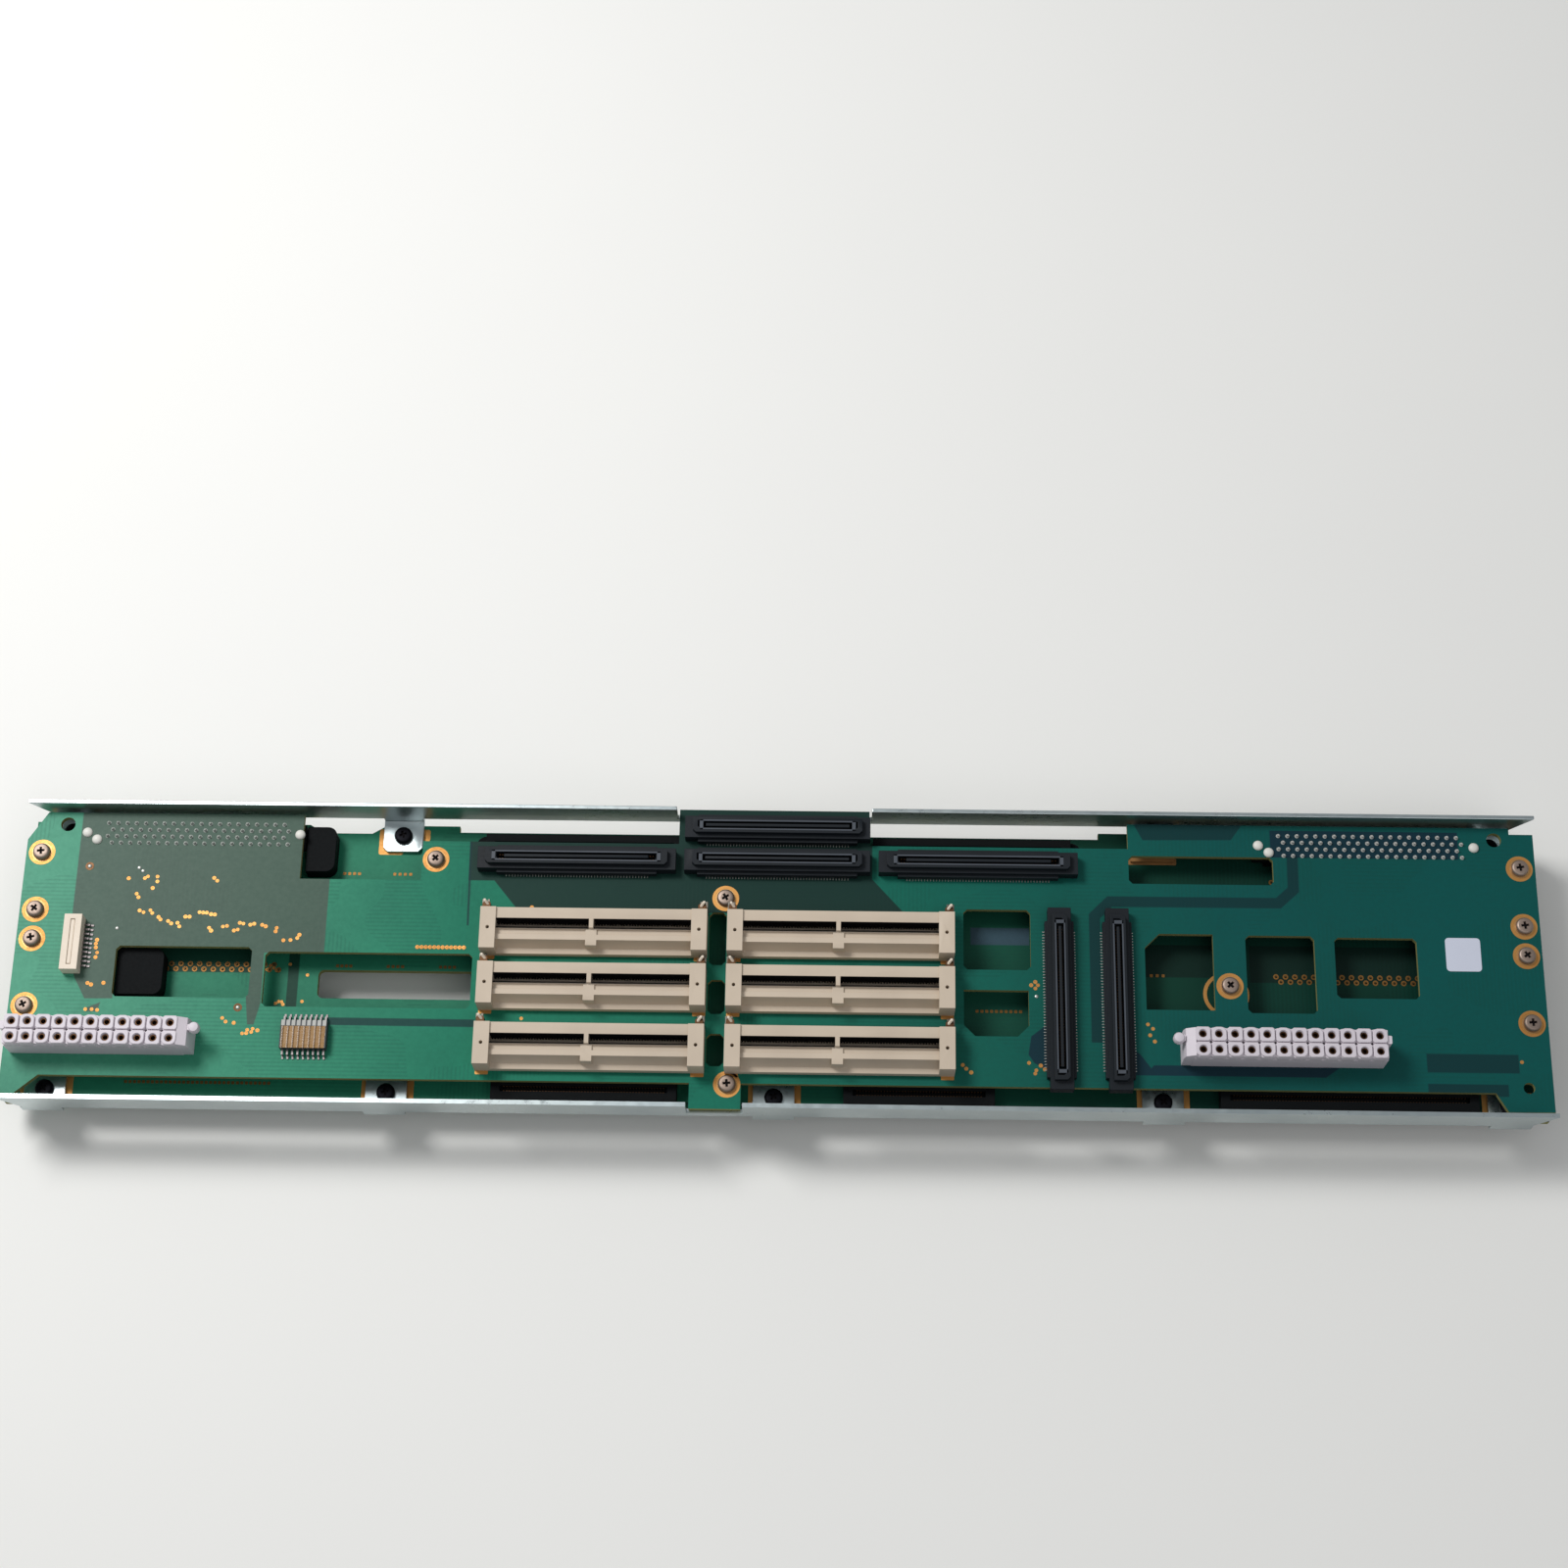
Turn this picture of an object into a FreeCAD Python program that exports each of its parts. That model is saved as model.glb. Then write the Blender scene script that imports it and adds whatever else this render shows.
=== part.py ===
# Drive backplane assembly: two printed boards between folded steel rails.
# Millimetres.  X runs along the boards, Y across them, Z from the drive side up to the cable side.
# The origin is under the middle of the assembly, at the tips of the drive connectors.
import FreeCAD, Part
import math
import os
import re
import Sketcher

os.makedirs("parts", exist_ok=True)
doc = FreeCAD.newDocument("drive_backplane")
sheet = doc.addObject("Spreadsheet::Sheet", "Dims")

driving = {
    # stack, from the drive side up
    "drive_connector_height": 8.6, "drive_board_thickness": 2.0, "board_gap": 6.0,
    "rear_board_thickness": 1.6,
    # printed board outlines, with reliefs given from the board edge
    "board_length": 410.4, "board_half_width": 40.0,
    "corner_cut_x": 5.0, "corner_cut_y": 8.0, "corner_step_x": 6.4, "corner_step_y": 1.8,
    "bay_right": -0.2359, "bay_depth": 18.5, "bay_overlap": 0.5,
    "relief_depth": 7.2, "relief_right": 0.2320,
    "bridge_left": -26.9, "bridge_right": 25.0, "bridge_out": 2.8,
    "lower_line": 0.8600, "foot_recess": 0.5, "left_foot": 4.2, "left_slope": 6.0,
    "right_foot": 12.2, "right_slope": 3.0,
    "lug_left": -22.3, "lug_right": -8.6, "lug_out": 1.4,
    # drive board edge reliefs
    "scoop_left": -0.3155, "scoop_right": -0.2636, "scoop_slope": 4.0, "scoop_depth": 2.4,
    "side_relief_near": 22.0, "side_relief_far": 88.0, "side_relief_depth": 1.8,
    "edge_slot_end": 16.5, "edge_slot_width": 2.6, "edge_slot_depth": 7.0,
    # windows: ends as shares of the board's length, except beside the card sockets
    "window_corner": 1.0, "drive_window_corner": 1.6, "card_window_gap": 0.4,
    "west_left": -0.4332, "west_right": -0.3436, "west_low": -12.5, "west_high": 1.8,
    "long_left": -0.3346, "long_right": -0.1986, "long_low": -14.8, "long_high": 0.6,
    "near_left": 0.2412, "near_right": 0.2858, "near_low": -12.7, "near_high": 8.6,
    "near_cut": 4.0,
    "middle_left": 0.3070, "middle_right": 0.3519, "middle_low": -13.3, "middle_high": 8.4,
    "far_left": 0.3650, "far_right": 0.4186, "far_low": -8.9, "far_high": 8.1,
    "link_slot_left": 0.2322, "link_slot_right": 0.3275,
    "link_slot_width": 8.0, "link_slot_gap": 0.1,
    "drive_window_left": -0.3021, "drive_window_right": -0.1944,
    "drive_window_low": -10.0, "drive_window_high": -2.0,
    "gap_first_low": -1.7, "gap_first_high": 13.2, "gap_second_low": -15.4, "gap_second_high": -5.9,
    "gap_third_low": -29.8, "gap_third_high": -20.9,
    "beside_gap": 2.6, "beside_width": 18.0, "beside_low": -2.1, "beside_high": 14.9,
    "notched_width": 17.3, "notched_low": -20.6, "notched_high": -7.8, "notched_cut": 3.0,
    # fixings: shares of the board's half width and length where a place has no edge of its own
    "screw_edge": 4.3, "end_screw_first": 0.7075, "end_screw_second": 0.2950,
    "end_screw_third": 0.0875, "end_screw_fourth": -0.3825,
    "west_screw_x": -0.2266, "west_screw_y": 27.5, "core_screw_x": -13.8,
    "core_screw_y": 0.4300, "lug_screw_x": -12.3, "lug_screw_drop": 0.3,
    "east_screw_x": 0.2958, "east_screw_y": -5.9,
    "screw_hole": 1.7, "screw_shank": 1.25, "screw_head": 2.4, "screw_head_height": 1.5,
    "screw_head_taper": 0.72, "standoff_radius": 2.6, "thread_gap": 0.05, "shank_end_gap": 0.5,
    "access_hole": 2.0, "sight_hole": 1.5, "sight_hole_edge": 6.4, "sight_hole_line": 33.0,
    # rails
    "rail_end_gap": 0.2, "rail_side_gap": 0.9, "rail_metal": 1.2, "rail_rise": 4.6,
    "rail_height": 9.2, "rail_end_cut": 5.6, "rail_notch_gap": 0.3,
    "rail_notch_side": 0.6,
    "rail_tab_width": 11.0, "rail_tab_reach": 10.2, "rail_tab_corner": 1.2,
    "rail_tab_inner": 0.2517, "rail_tab_end": 10.6, "rail_screw_inset": 5.6,
    "rail_screw_shank": 1.4, "rail_screw_head": 2.5, "rail_screw_head_height": 1.5,
    "rail_screw_gap": 0.1,
    # card sockets
    "card_length": 60.8, "card_depth": 0.2900, "card_height": 6.5, "card_tower": 4.2,
    "card_tower_rise": 0.6, "card_right": 17.4, "card_column_gap": 5.4,
    "card_high": 0.1500, "card_middle": -0.2325, "card_low": -0.6500,
    "card_bar": 3.0, "card_slot": 2.5, "card_slot_depth": 4.8, "card_key": 1.2,
    "card_key_offset": -0.6, "card_ledge": 3.2, "card_ledge_drop": 0.9,
    "card_groove": 0.5, "card_groove_width": 1.4, "card_groove_step": 0.3,
    "card_ramp_top": 5.0, "card_ramp_foot": 2.0, "card_hole": 0.45,
    "card_foot_width": 3.0, "card_foot_depth": 1.5, "clip_metal": 0.5, "clip_reach": 3.2,
    "clip_width": 2.0, "clip_height": 3.6, "clip_slot": 0.8,
    # white power connectors
    "power_pitch": 4.2, "power_wall": 2.45, "power_height": 10.0, "power_bore": 1.15,
    "power_bore_depth": 7.0, "power_groove": 0.5, "power_groove_depth": 3.0,
    "power_ledge": 1.5, "power_ledge_height": 9.4, "power_ear": 1.5, "power_ear_height": 3.2,
    "power_ear_shift": 1.1, "power_ear_stem": 2.1, "power_nib": 1.0, "power_nib_width": 2.2,
    "power_right_x": 0.2739, "power_right_y": -24.1, "power_left_end": 46.3,
    "power_left_y": -24.6, "power_columns": 12, "power_left_columns": 11,
    "power_pin": 0.8, "power_pin_height": 6.0,
    # black cable connectors
    "cable_height": 5.0, "cable_shroud": 4.2, "cable_skirt": 1.8, "cable_skirt_height": 2.2,
    "cable_slot": 43.4, "cable_slot_width": 2.5, "cable_slot_depth": 3.8, "cable_tongue": 0.8,
    "cable_flange": 2.2, "cable_flange_height": 3.4, "cable_flange_reach": 1.0, "cable_corner": 0.8,
    "cable_long": 53.8, "cable_short": 50.4, "cable_row": 27.2, "cable_bridge_edge": 6.1,
    "cable_far_left": -54.4, "cable_bridge": 0.0, "cable_far_right": 54.4,
    "cable_upright_a": 76.0, "cable_upright_b": 91.5, "cable_upright_y": -10.6,
    # low black connectors on the drive board
    "low_height": 4.6, "low_depth": 6.0, "low_ear": 3.0, "low_slot": 1.6, "low_slot_depth": 2.2,
    "low_end_wall": 2.5, "low_top_inset": 1.9, "low_side_inner": 26.0, "low_side_length": 54.0,
    "low_bottom_edge": 4.4, "low_third_left": -75.1, "low_third_right": -25.7,
    "low_fourth_left": 18.5, "low_fourth_right": 58.6, "low_fifth_near": 9.4,
    "low_fifth_far": 2.9, "guide_top_gap": 0.3, "guide_top_edge": 9.0,
    "guide_middle_x": -0.4176, "guide_middle_y": -4.6,
    "guide_block_width": 12.5, "guide_block_depth": 13.0,
    "guide_block_height": 5.2, "guide_block_corner": 2.5, "guide_block_top_width": 8.0,
    # drive connectors, board links and their tails
    "drive_end": 15.45, "drive_pitch_y": 27.0, "drive_shift_y": 1.6, "drive_length": 60.0,
    "drive_depth": 7.0,
    "drive_cavity": 51.0, "drive_cavity_width": 3.6, "drive_cavity_depth": 5.8,
    "drive_tongue": 1.3, "drive_corner": 1.0,
    "link_end": 45.4, "link_line": 0.8550, "link_plug_length": 61.0, "link_socket_length": 54.0,
    "link_depth": 6.6, "link_split": 3.0,
    "tail_pitch": 2.54, "tail_row": 1.9, "tail_count": 20, "tail_base": 0.9, "tail_rise": 1.1,
    "tail_shift": 0.5, "peg_radius": 1.2, "peg_rise": 1.0, "peg_span": 58.4, "peg_second_x": 2.8,
    "peg_second_y": 2.0,
    # white flat-cable connector and the switch block
    "flex_end": 16.0, "flex_y": 1.5, "flex_width": 4.8, "flex_length": 15.6, "flex_height": 4.2,
    "flex_slot": 1.2, "flex_slot_depth": 2.6, "flex_wall": 1.4, "flex_lead": 2.4,
    "flex_lead_count": 10, "lead_metal": 0.3, "lead_width": 0.5,
    "switch_x": -0.3043, "switch_y": -23.2, "switch_length": 12.4, "switch_depth": 7.6,
    "switch_height": 2.6, "switch_lift": 0.3, "switch_lead": 2.4, "switch_lead_count": 9,
    "tape_metal": 0.1, "tape_inset": 0.4,
}
for row, (name, size) in enumerate(driving.items(), start=1):
    sheet.set("A%d" % row, name)
    sheet.set("B%d" % row, str(size))
    sheet.setAlias("B%d" % row, name)
doc.recompute()


def bound(text):
    """The same sum with every sheet name pointing at the sheet."""
    return re.sub(r"[a-z]\w*", lambda word: "Dims." + word.group(0), text)


def size(text):
    """The present value of a sum of sheet names."""
    return float(sheet.evalExpression(text))


def vector(x, y, z=0.0):
    return FreeCAD.Vector(x, y, z)


# Levels of the stack.
drive_bottom = "drive_connector_height"
drive_top = drive_bottom + " + drive_board_thickness"
rear_bottom = drive_top + " + board_gap"
rear_top = rear_bottom + " + rear_board_thickness"

def along(name):
    """A place given as a share of the board's length."""
    return "(board_length * " + name + ")"


def across(name):
    """A place given as a share of the board's half width."""
    return "(board_half_width * " + name + ")"


# Lines that several pieces keep to.
board_end = "board_length / 2"
rail_face = "(board_half_width + rail_side_gap + rail_metal)"
lower_edge = across("lower_line")
bridge_reach = "(board_half_width + bridge_out)"
relief_edge = "(board_half_width - relief_depth)"
foot_reach = "(board_half_width - foot_recess)"
link_x = "(board_length / 2 - link_end)"
link_y = across("link_line")
card_depth = across("card_depth")
card_columns = ("(card_right - card_length - card_column_gap)", "card_right")
card_rows = (across("card_high"), across("card_middle"), across("card_low"))

# Places shared by screws, standoffs and holes, as pairs of sums.
end_screw = "(board_length / 2 - screw_edge)"
end_rows = [across("end_screw_" + name) for name in ("first", "second", "third", "fourth")]
screw_places = [(side + end_screw, row) for side in ("-", "") for row in end_rows]
screw_places += [(along("west_screw_x"), "west_screw_y"), ("core_screw_x", across("core_screw_y")),
                 ("lug_screw_x", "-(" + lower_edge + " + lug_screw_drop)"),
                 (along("east_screw_x"), "east_screw_y")]
tab_outer = "(board_length / 2 - rail_tab_end)"
tab_inner = along("rail_tab_inner")
tab_places = ["-" + tab_outer, "-" + tab_inner, "0", tab_inner, tab_outer]
rail_screw_line = "(" + rail_face + " - rail_screw_inset)"
rail_screw_places = [(x, side + rail_screw_line) for side in ("", "-") for x in tab_places]


def new_body(label, place=("0", "0", "0"), turn=0):
    body = doc.addObject("PartDesign::Body", label)
    body.Label = label
    body.Placement.Rotation = FreeCAD.Rotation(vector(0, 0, 1), turn)
    for axis, text in zip("xyz", place):
        body.setExpression("Placement.Base." + axis, bound(text))
    return body


def new_sketch(body, name, plane="XY_Plane", lift=None):
    sketch = body.newObject("Sketcher::SketchObject", body.Name + "_" + name)
    base = [item for item in body.Origin.OriginFeatures if item.Role == plane][0]
    sketch.AttachmentSupport = [(base, "")]
    sketch.MapMode = "FlatFace"
    if lift:
        sketch.setExpression("AttachmentOffset.Base.z", bound(lift))
    return sketch


def add_outline(sketch, corners):
    """A closed outline of straight lines through corners given as pairs of sums."""
    spots = [vector(size(x), size(y)) for x, y in corners]
    count = len(spots)
    lines = []
    for index in range(count):
        line = Part.LineSegment(spots[index], spots[(index + 1) % count])
        lines.append(sketch.addGeometry(line, False))
    for index in range(count):
        follower = lines[(index + 1) % count]
        sketch.addConstraint(Sketcher.Constraint("Coincident", lines[index], 2, follower, 1))
    for line, spot, texts in zip(lines, spots, corners):
        for kind, value, text in (("DistanceX", spot.x, texts[0]), ("DistanceY", spot.y, texts[1])):
            made = sketch.addConstraint(Sketcher.Constraint(kind, -1, 1, line, 1, value))
            sketch.setExpression("Constraints[%d]" % made, bound(text))


def add_box(sketch, left, right, low, high):
    add_outline(sketch, [(left, low), (right, low), (right, high), (left, high)])


def add_circle(sketch, x, y, radius):
    circle = Part.Circle(vector(size(x), size(y)), vector(0, 0, 1), size(radius))
    made = sketch.addGeometry(circle, False)
    for kind, text in (("DistanceX", x), ("DistanceY", y)):
        place = sketch.addConstraint(Sketcher.Constraint(kind, -1, 1, made, 3, size(text)))
        sketch.setExpression("Constraints[%d]" % place, bound(text))
    ring = sketch.addConstraint(Sketcher.Constraint("Radius", made, size(radius)))
    sketch.setExpression("Constraints[%d]" % ring, bound(radius))


def add_drilling(sketch, x, y, radius, sides=8):
    """A drilling with flat sides that all clear the given radius."""
    reach = 1 / math.cos(math.pi / sides)
    corners = []
    for index in range(sides):
        angle = 2 * math.pi * (index + 0.5) / sides
        corners.append(("%s + %s * (%.6f)" % (x, radius, reach * math.cos(angle)),
                        "%s + %s * (%.6f)" % (y, radius, reach * math.sin(angle))))
    add_outline(sketch, corners)


def pad(body, sketch, length, midplane=False):
    feature = body.newObject("PartDesign::Pad", sketch.Name + "_pad")
    feature.Profile = sketch
    feature.setExpression("Length", bound(length))
    feature.Midplane = midplane
    sketch.Visibility = False
    return feature


def pocket(body, sketch, depth, upward=False, midplane=False):
    """A cut from the sketch plane, down into the solid unless told otherwise."""
    doc.recompute()
    before = body.Shape.Volume
    feature = body.newObject("PartDesign::Pocket", sketch.Name + "_pocket")
    feature.Profile = sketch
    feature.setExpression("Length", bound(depth))
    feature.Reversed = upward
    feature.Midplane = midplane
    doc.recompute()
    if not body.Shape.Volume < before:
        raise RuntimeError(feature.Name + " cuts nothing")
    return feature


def repeat(body, feature, spacing, copies):
    """Copies of a feature along the body's X axis."""
    pattern = body.newObject("PartDesign::LinearPattern", feature.Name + "_row")
    pattern.Originals = [feature]
    axis = [item for item in body.Origin.OriginFeatures if item.Role == "X_Axis"][0]
    pattern.Direction = (axis, [""])
    pattern.setExpression("Length", bound("(" + copies + " - 1) * " + spacing))
    pattern.setExpression("Occurrences", bound(copies))
    body.Tip = pattern
    return pattern


def upright_edges(body, spots):
    """Names of the vertical edges that stand at the given plan places."""
    doc.recompute()
    found = []
    for number, edge in enumerate(body.Shape.Edges, start=1):
        if len(edge.Vertexes) != 2:
            continue
        low, high = (corner.Point for corner in edge.Vertexes)
        if abs(low.x - high.x) + abs(low.y - high.y) > 1e-6:
            continue
        if any(abs(low.x - x) + abs(low.y - y) < 1e-4 for x, y in spots):
            found.append("Edge%d" % number)
    return found


def fillet(body, edges, radius):
    base = body.Tip
    feature = body.newObject("PartDesign::Fillet", body.Name + "_fillet")
    feature.Base = (base, edges)
    feature.setExpression("Radius", bound(radius))
    return feature


def chamfer(body, edges, cut):
    base = body.Tip
    feature = body.newObject("PartDesign::Chamfer", body.Name + "_chamfer")
    feature.Base = (base, edges)
    feature.setExpression("Size", bound(cut))
    return feature


def solid_group(label, solids, place=("0", "0", "0"), turn=0):
    """Separate solids that share one node, built around their own place."""
    group = doc.addObject("Part::Feature", label)
    group.Label = label
    group.Shape = Part.makeCompound(solids)
    base = vector(*(size(text) for text in place))
    group.Placement = FreeCAD.Placement(base, FreeCAD.Rotation(vector(0, 0, 1), turn))
    return group


def block(left, right, low, high, bottom, top):
    return Part.makeBox(right - left, high - low, top - bottom, vector(left, low, bottom))


def tapered_post(foot, height, low_radius, high_radius, sides=8):
    """An upright post with flat sides, given by the radii over its corners."""
    rings = []
    for radius, rise in ((low_radius, 0), (high_radius, height)):
        rings.append([foot + vector(radius * math.cos(2 * math.pi * (index + 0.5) / sides),
                                    radius * math.sin(2 * math.pi * (index + 0.5) / sides), rise)
                      for index in range(sides)])
    low, high = rings
    outlines = [low, high]
    for index in range(sides):
        after = (index + 1) % sides
        outlines.append([low[index], low[after], high[after], high[index]])
    faces = [Part.Face(Part.makePolygon(outline + outline[:1])) for outline in outlines]
    return Part.Solid(Part.Shell(faces))


# Rear board: outline clockwise from the lower left foot.
bay_left = "-(" + link_x + " - link_plug_length / 2 + bay_overlap)"
bay_floor = "board_half_width - bay_depth"
rear_outline = [
    ("-" + board_end, "-" + foot_reach),
    ("-" + board_end, "board_half_width - corner_cut_y"),
    ("-" + board_end + " + corner_cut_x", "board_half_width"),
    (bay_left, "board_half_width"),
    (bay_left, bay_floor),
    (along("bay_right"), bay_floor),
    (along("bay_right"), relief_edge),
    ("bridge_left", relief_edge),
    ("bridge_left", bridge_reach),
    ("bridge_right", bridge_reach),
    ("bridge_right", relief_edge),
    (along("relief_right"), relief_edge),
    (along("relief_right"), "board_half_width"),
    (board_end + " - corner_step_x", "board_half_width"),
    (board_end + " - corner_step_x", "board_half_width - corner_step_y"),
    (board_end, "board_half_width - corner_step_y"),
    (board_end, "-" + foot_reach),
    (board_end + " - right_foot", "-" + foot_reach),
    (board_end + " - right_foot - right_slope", "-" + lower_edge),
    ("lug_right", "-" + lower_edge),
    ("lug_right", "-(board_half_width + lug_out)"),
    ("lug_left", "-(board_half_width + lug_out)"),
    ("lug_left", "-" + lower_edge),
    ("-" + board_end + " + left_foot + left_slope", "-" + lower_edge),
    ("-" + board_end + " + left_foot", "-" + foot_reach),
]
card_gap_left = card_columns[0] + " + card_length / 2 + card_window_gap"
card_gap_right = card_columns[1] + " - card_length / 2 - card_window_gap"
beside_left = "(card_right + card_length / 2 + beside_gap)"
slot_high = "(" + link_y + " - link_depth / 2 - link_slot_gap)"
rear_windows = [(along(name + "_left"), along(name + "_right"), name + "_low", name + "_high")
                for name in ("west", "long", "middle", "far")]
rear_windows += [(card_gap_left, card_gap_right, name + "_low", name + "_high")
                 for name in ("gap_first", "gap_second", "gap_third")]
rear_windows += [
    (beside_left, beside_left + " + beside_width", "beside_low", "beside_high"),
    (along("link_slot_left"), along("link_slot_right"), slot_high + " - link_slot_width", slot_high)]
window_corner_spots = [(size(x), size(y)) for left, right, low, high in rear_windows
                       for x in (left, right) for y in (low, high)]
notched_right = "(" + beside_left + " + notched_width)"
notched_window = [
    (beside_left, "notched_high"), (notched_right, "notched_high"),
    (notched_right, "notched_low + notched_cut"), (notched_right + " - notched_cut", "notched_low"),
    (beside_left + " + notched_cut", "notched_low"), (beside_left, "notched_low + notched_cut")]
near_left = along("near_left")
near_right = along("near_right")
near_window = [
    (near_left, "near_low"), (near_right, "near_low"), (near_right, "near_high"),
    (near_left + " + near_cut", "near_high"), (near_left, "near_high - near_cut")]

rear_board = new_body("rear_board", ("0", "0", rear_bottom))
plan = new_sketch(rear_board, "plan")
add_outline(plan, rear_outline)
pad(rear_board, plan, "rear_board_thickness")
openings = new_sketch(rear_board, "windows")
for left, right, low, high in rear_windows:
    add_box(openings, left, right, low, high)
add_outline(openings, notched_window)
add_outline(openings, near_window)
pocket(rear_board, openings, "rear_board_thickness", upward=True)
holes = new_sketch(rear_board, "holes")
for x, y in screw_places:
    add_drilling(holes, x, y, "screw_hole")
for x in (tab_places[0], tab_places[-1]):
    add_circle(holes, x, rail_screw_line, "access_hole")
add_circle(holes, board_end + " - sight_hole_edge", "-sight_hole_line", "sight_hole")
pocket(rear_board, holes, "rear_board_thickness", upward=True)
chamfer(rear_board, upright_edges(rear_board, window_corner_spots), "window_corner")

# Drive board: a plain outline under the rails with scooped edges.
slot_middle = "-(board_length / 2 - edge_slot_end)"
slot_floor = "-(board_half_width - edge_slot_depth)"
side_relief = "board_half_width - side_relief_depth"
scoop_floor = "board_half_width - scoop_depth"
drive_outline = [
    ("-" + board_end, "-board_half_width"),
    ("-" + board_end, "board_half_width"),
    (along("scoop_left"), "board_half_width"),
    (along("scoop_left") + " + scoop_slope", scoop_floor),
    (along("scoop_right") + " - scoop_slope", scoop_floor),
    (along("scoop_right"), "board_half_width"),
    ("-side_relief_far", "board_half_width"),
    ("-side_relief_far", side_relief),
    ("-side_relief_near", side_relief),
    ("-side_relief_near", "board_half_width"),
    ("side_relief_near", "board_half_width"),
    ("side_relief_near", side_relief),
    ("side_relief_far", side_relief),
    ("side_relief_far", "board_half_width"),
    (board_end, "board_half_width"),
    (board_end, "-board_half_width"),
    (slot_middle + " + edge_slot_width / 2", "-board_half_width"),
    (slot_middle + " + edge_slot_width / 2", slot_floor),
    (slot_middle + " - edge_slot_width / 2", slot_floor),
    (slot_middle + " - edge_slot_width / 2", "-board_half_width"),
]
drive_board = new_body("drive_board", ("0", "0", drive_bottom))
plan = new_sketch(drive_board, "plan")
add_outline(plan, drive_outline)
pad(drive_board, plan, "drive_board_thickness")
openings = new_sketch(drive_board, "window")
add_box(openings, along("drive_window_left"), along("drive_window_right"), "drive_window_low",
        "drive_window_high")
pocket(drive_board, openings, "drive_board_thickness", upward=True)
holes = new_sketch(drive_board, "holes")
for x, y in rail_screw_places:
    add_drilling(holes, x, y, "(rail_screw_shank + rail_screw_gap)")
pocket(drive_board, holes, "drive_board_thickness", upward=True)
window_ends = [(size(along("drive_window" + x)), size("drive_window" + y))
               for x in ("_left", "_right") for y in ("_low", "_high")]
fillet(drive_board, upright_edges(drive_board, window_ends), "drive_window_corner")


# Rails: a strip on edge with five tabs folded in over the drive board.
def build_rail(label, side, notch_left, notch_right):
    rail = new_body(label, ("0", "0", drive_top), 0 if side > 0 else 180)
    strip_top = "board_gap + rear_board_thickness + rail_rise"
    strip_bottom = strip_top + " - rail_height"
    notch_floor = "board_gap - rail_notch_gap"
    inner = "(" + rail_face + " - rail_metal)"
    rail_end = "(board_length / 2 - rail_end_gap)"
    tab_edge = rail_face + " - rail_tab_reach"
    face = new_sketch(rail, "face", "XZ_Plane", "-" + inner)
    add_outline(face, [
        ("-" + rail_end, strip_top), (notch_left, strip_top), (notch_left, notch_floor),
        (notch_right, notch_floor), (notch_right, strip_top), (rail_end, strip_top),
        (rail_end + " - rail_end_cut", strip_bottom),
        ("-" + rail_end + " + rail_end_cut", strip_bottom),
    ])
    strip = pad(rail, face, "rail_metal")
    strip.Reversed = True
    legs = new_sketch(rail, "legs", "XZ_Plane", "-" + inner)
    for x in tab_places:
        add_box(legs, x + " - rail_tab_width / 2", x + " + rail_tab_width / 2", "0", strip_bottom)
    leg = pad(rail, legs, "rail_metal")
    leg.Reversed = True
    tabs = new_sketch(rail, "tabs")
    for x in tab_places:
        add_box(tabs, x + " - rail_tab_width / 2", x + " + rail_tab_width / 2", tab_edge, inner)
    pad(rail, tabs, "rail_metal")
    bores = new_sketch(rail, "bores")
    for x in tab_places:
        add_drilling(bores, x, rail_screw_line, "(rail_screw_shank + rail_screw_gap)")
    pocket(rail, bores, "rail_metal", upward=True)
    half_tab = size("rail_tab_width / 2")
    corners = [(size(x) + way * half_tab, size(tab_edge)) for x in tab_places for way in (-1, 1)]
    turned = [(x * side, y * side) for x, y in corners]
    chamfer(rail, upright_edges(rail, turned), "rail_tab_corner")
    return rail


build_rail("top_rail", 1, "bridge_left - rail_notch_side", "bridge_right + rail_notch_side")
build_rail("bottom_rail", -1, "-lug_right - rail_notch_side", "-lug_left + rail_notch_side")


# Screws and standoffs.
def pan_screw(x, y, seat, head_radius, head_height, shank_radius, shank_length):
    crown = size("screw_head_taper") * head_radius
    head = tapered_post(vector(x, y, seat), head_height, head_radius, crown, 12)
    shank = tapered_post(vector(x, y, seat - shank_length), shank_length, shank_radius, shank_radius)
    return head.fuse(shank).removeSplitter()


screw_reach = size("rear_board_thickness + board_gap - shank_end_gap")
solid_group("board_screws", [
    pan_screw(size(x), size(y), size(rear_top), size("screw_head"), size("screw_head_height"),
              size("screw_shank"), screw_reach) for x, y in screw_places])
tab_level = size(drive_top + " + rail_metal")
solid_group("rail_screws", [
    pan_screw(size(x), size(y), tab_level, size("rail_screw_head"),
              size("rail_screw_head_height"), size("rail_screw_shank"),
              size("rail_metal + drive_board_thickness")) for x, y in rail_screw_places])
spacers = []
for x, y in screw_places:
    foot = vector(size(x), size(y), size(drive_top))
    spacer = tapered_post(foot, size("board_gap"), size("standoff_radius"), size("standoff_radius"), 6)
    bore_radius = size("(screw_shank + thread_gap)")
    spacers.append(spacer.cut(tapered_post(foot, size("board_gap"), bore_radius, bore_radius)))
solid_group("standoffs", spacers)


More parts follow.
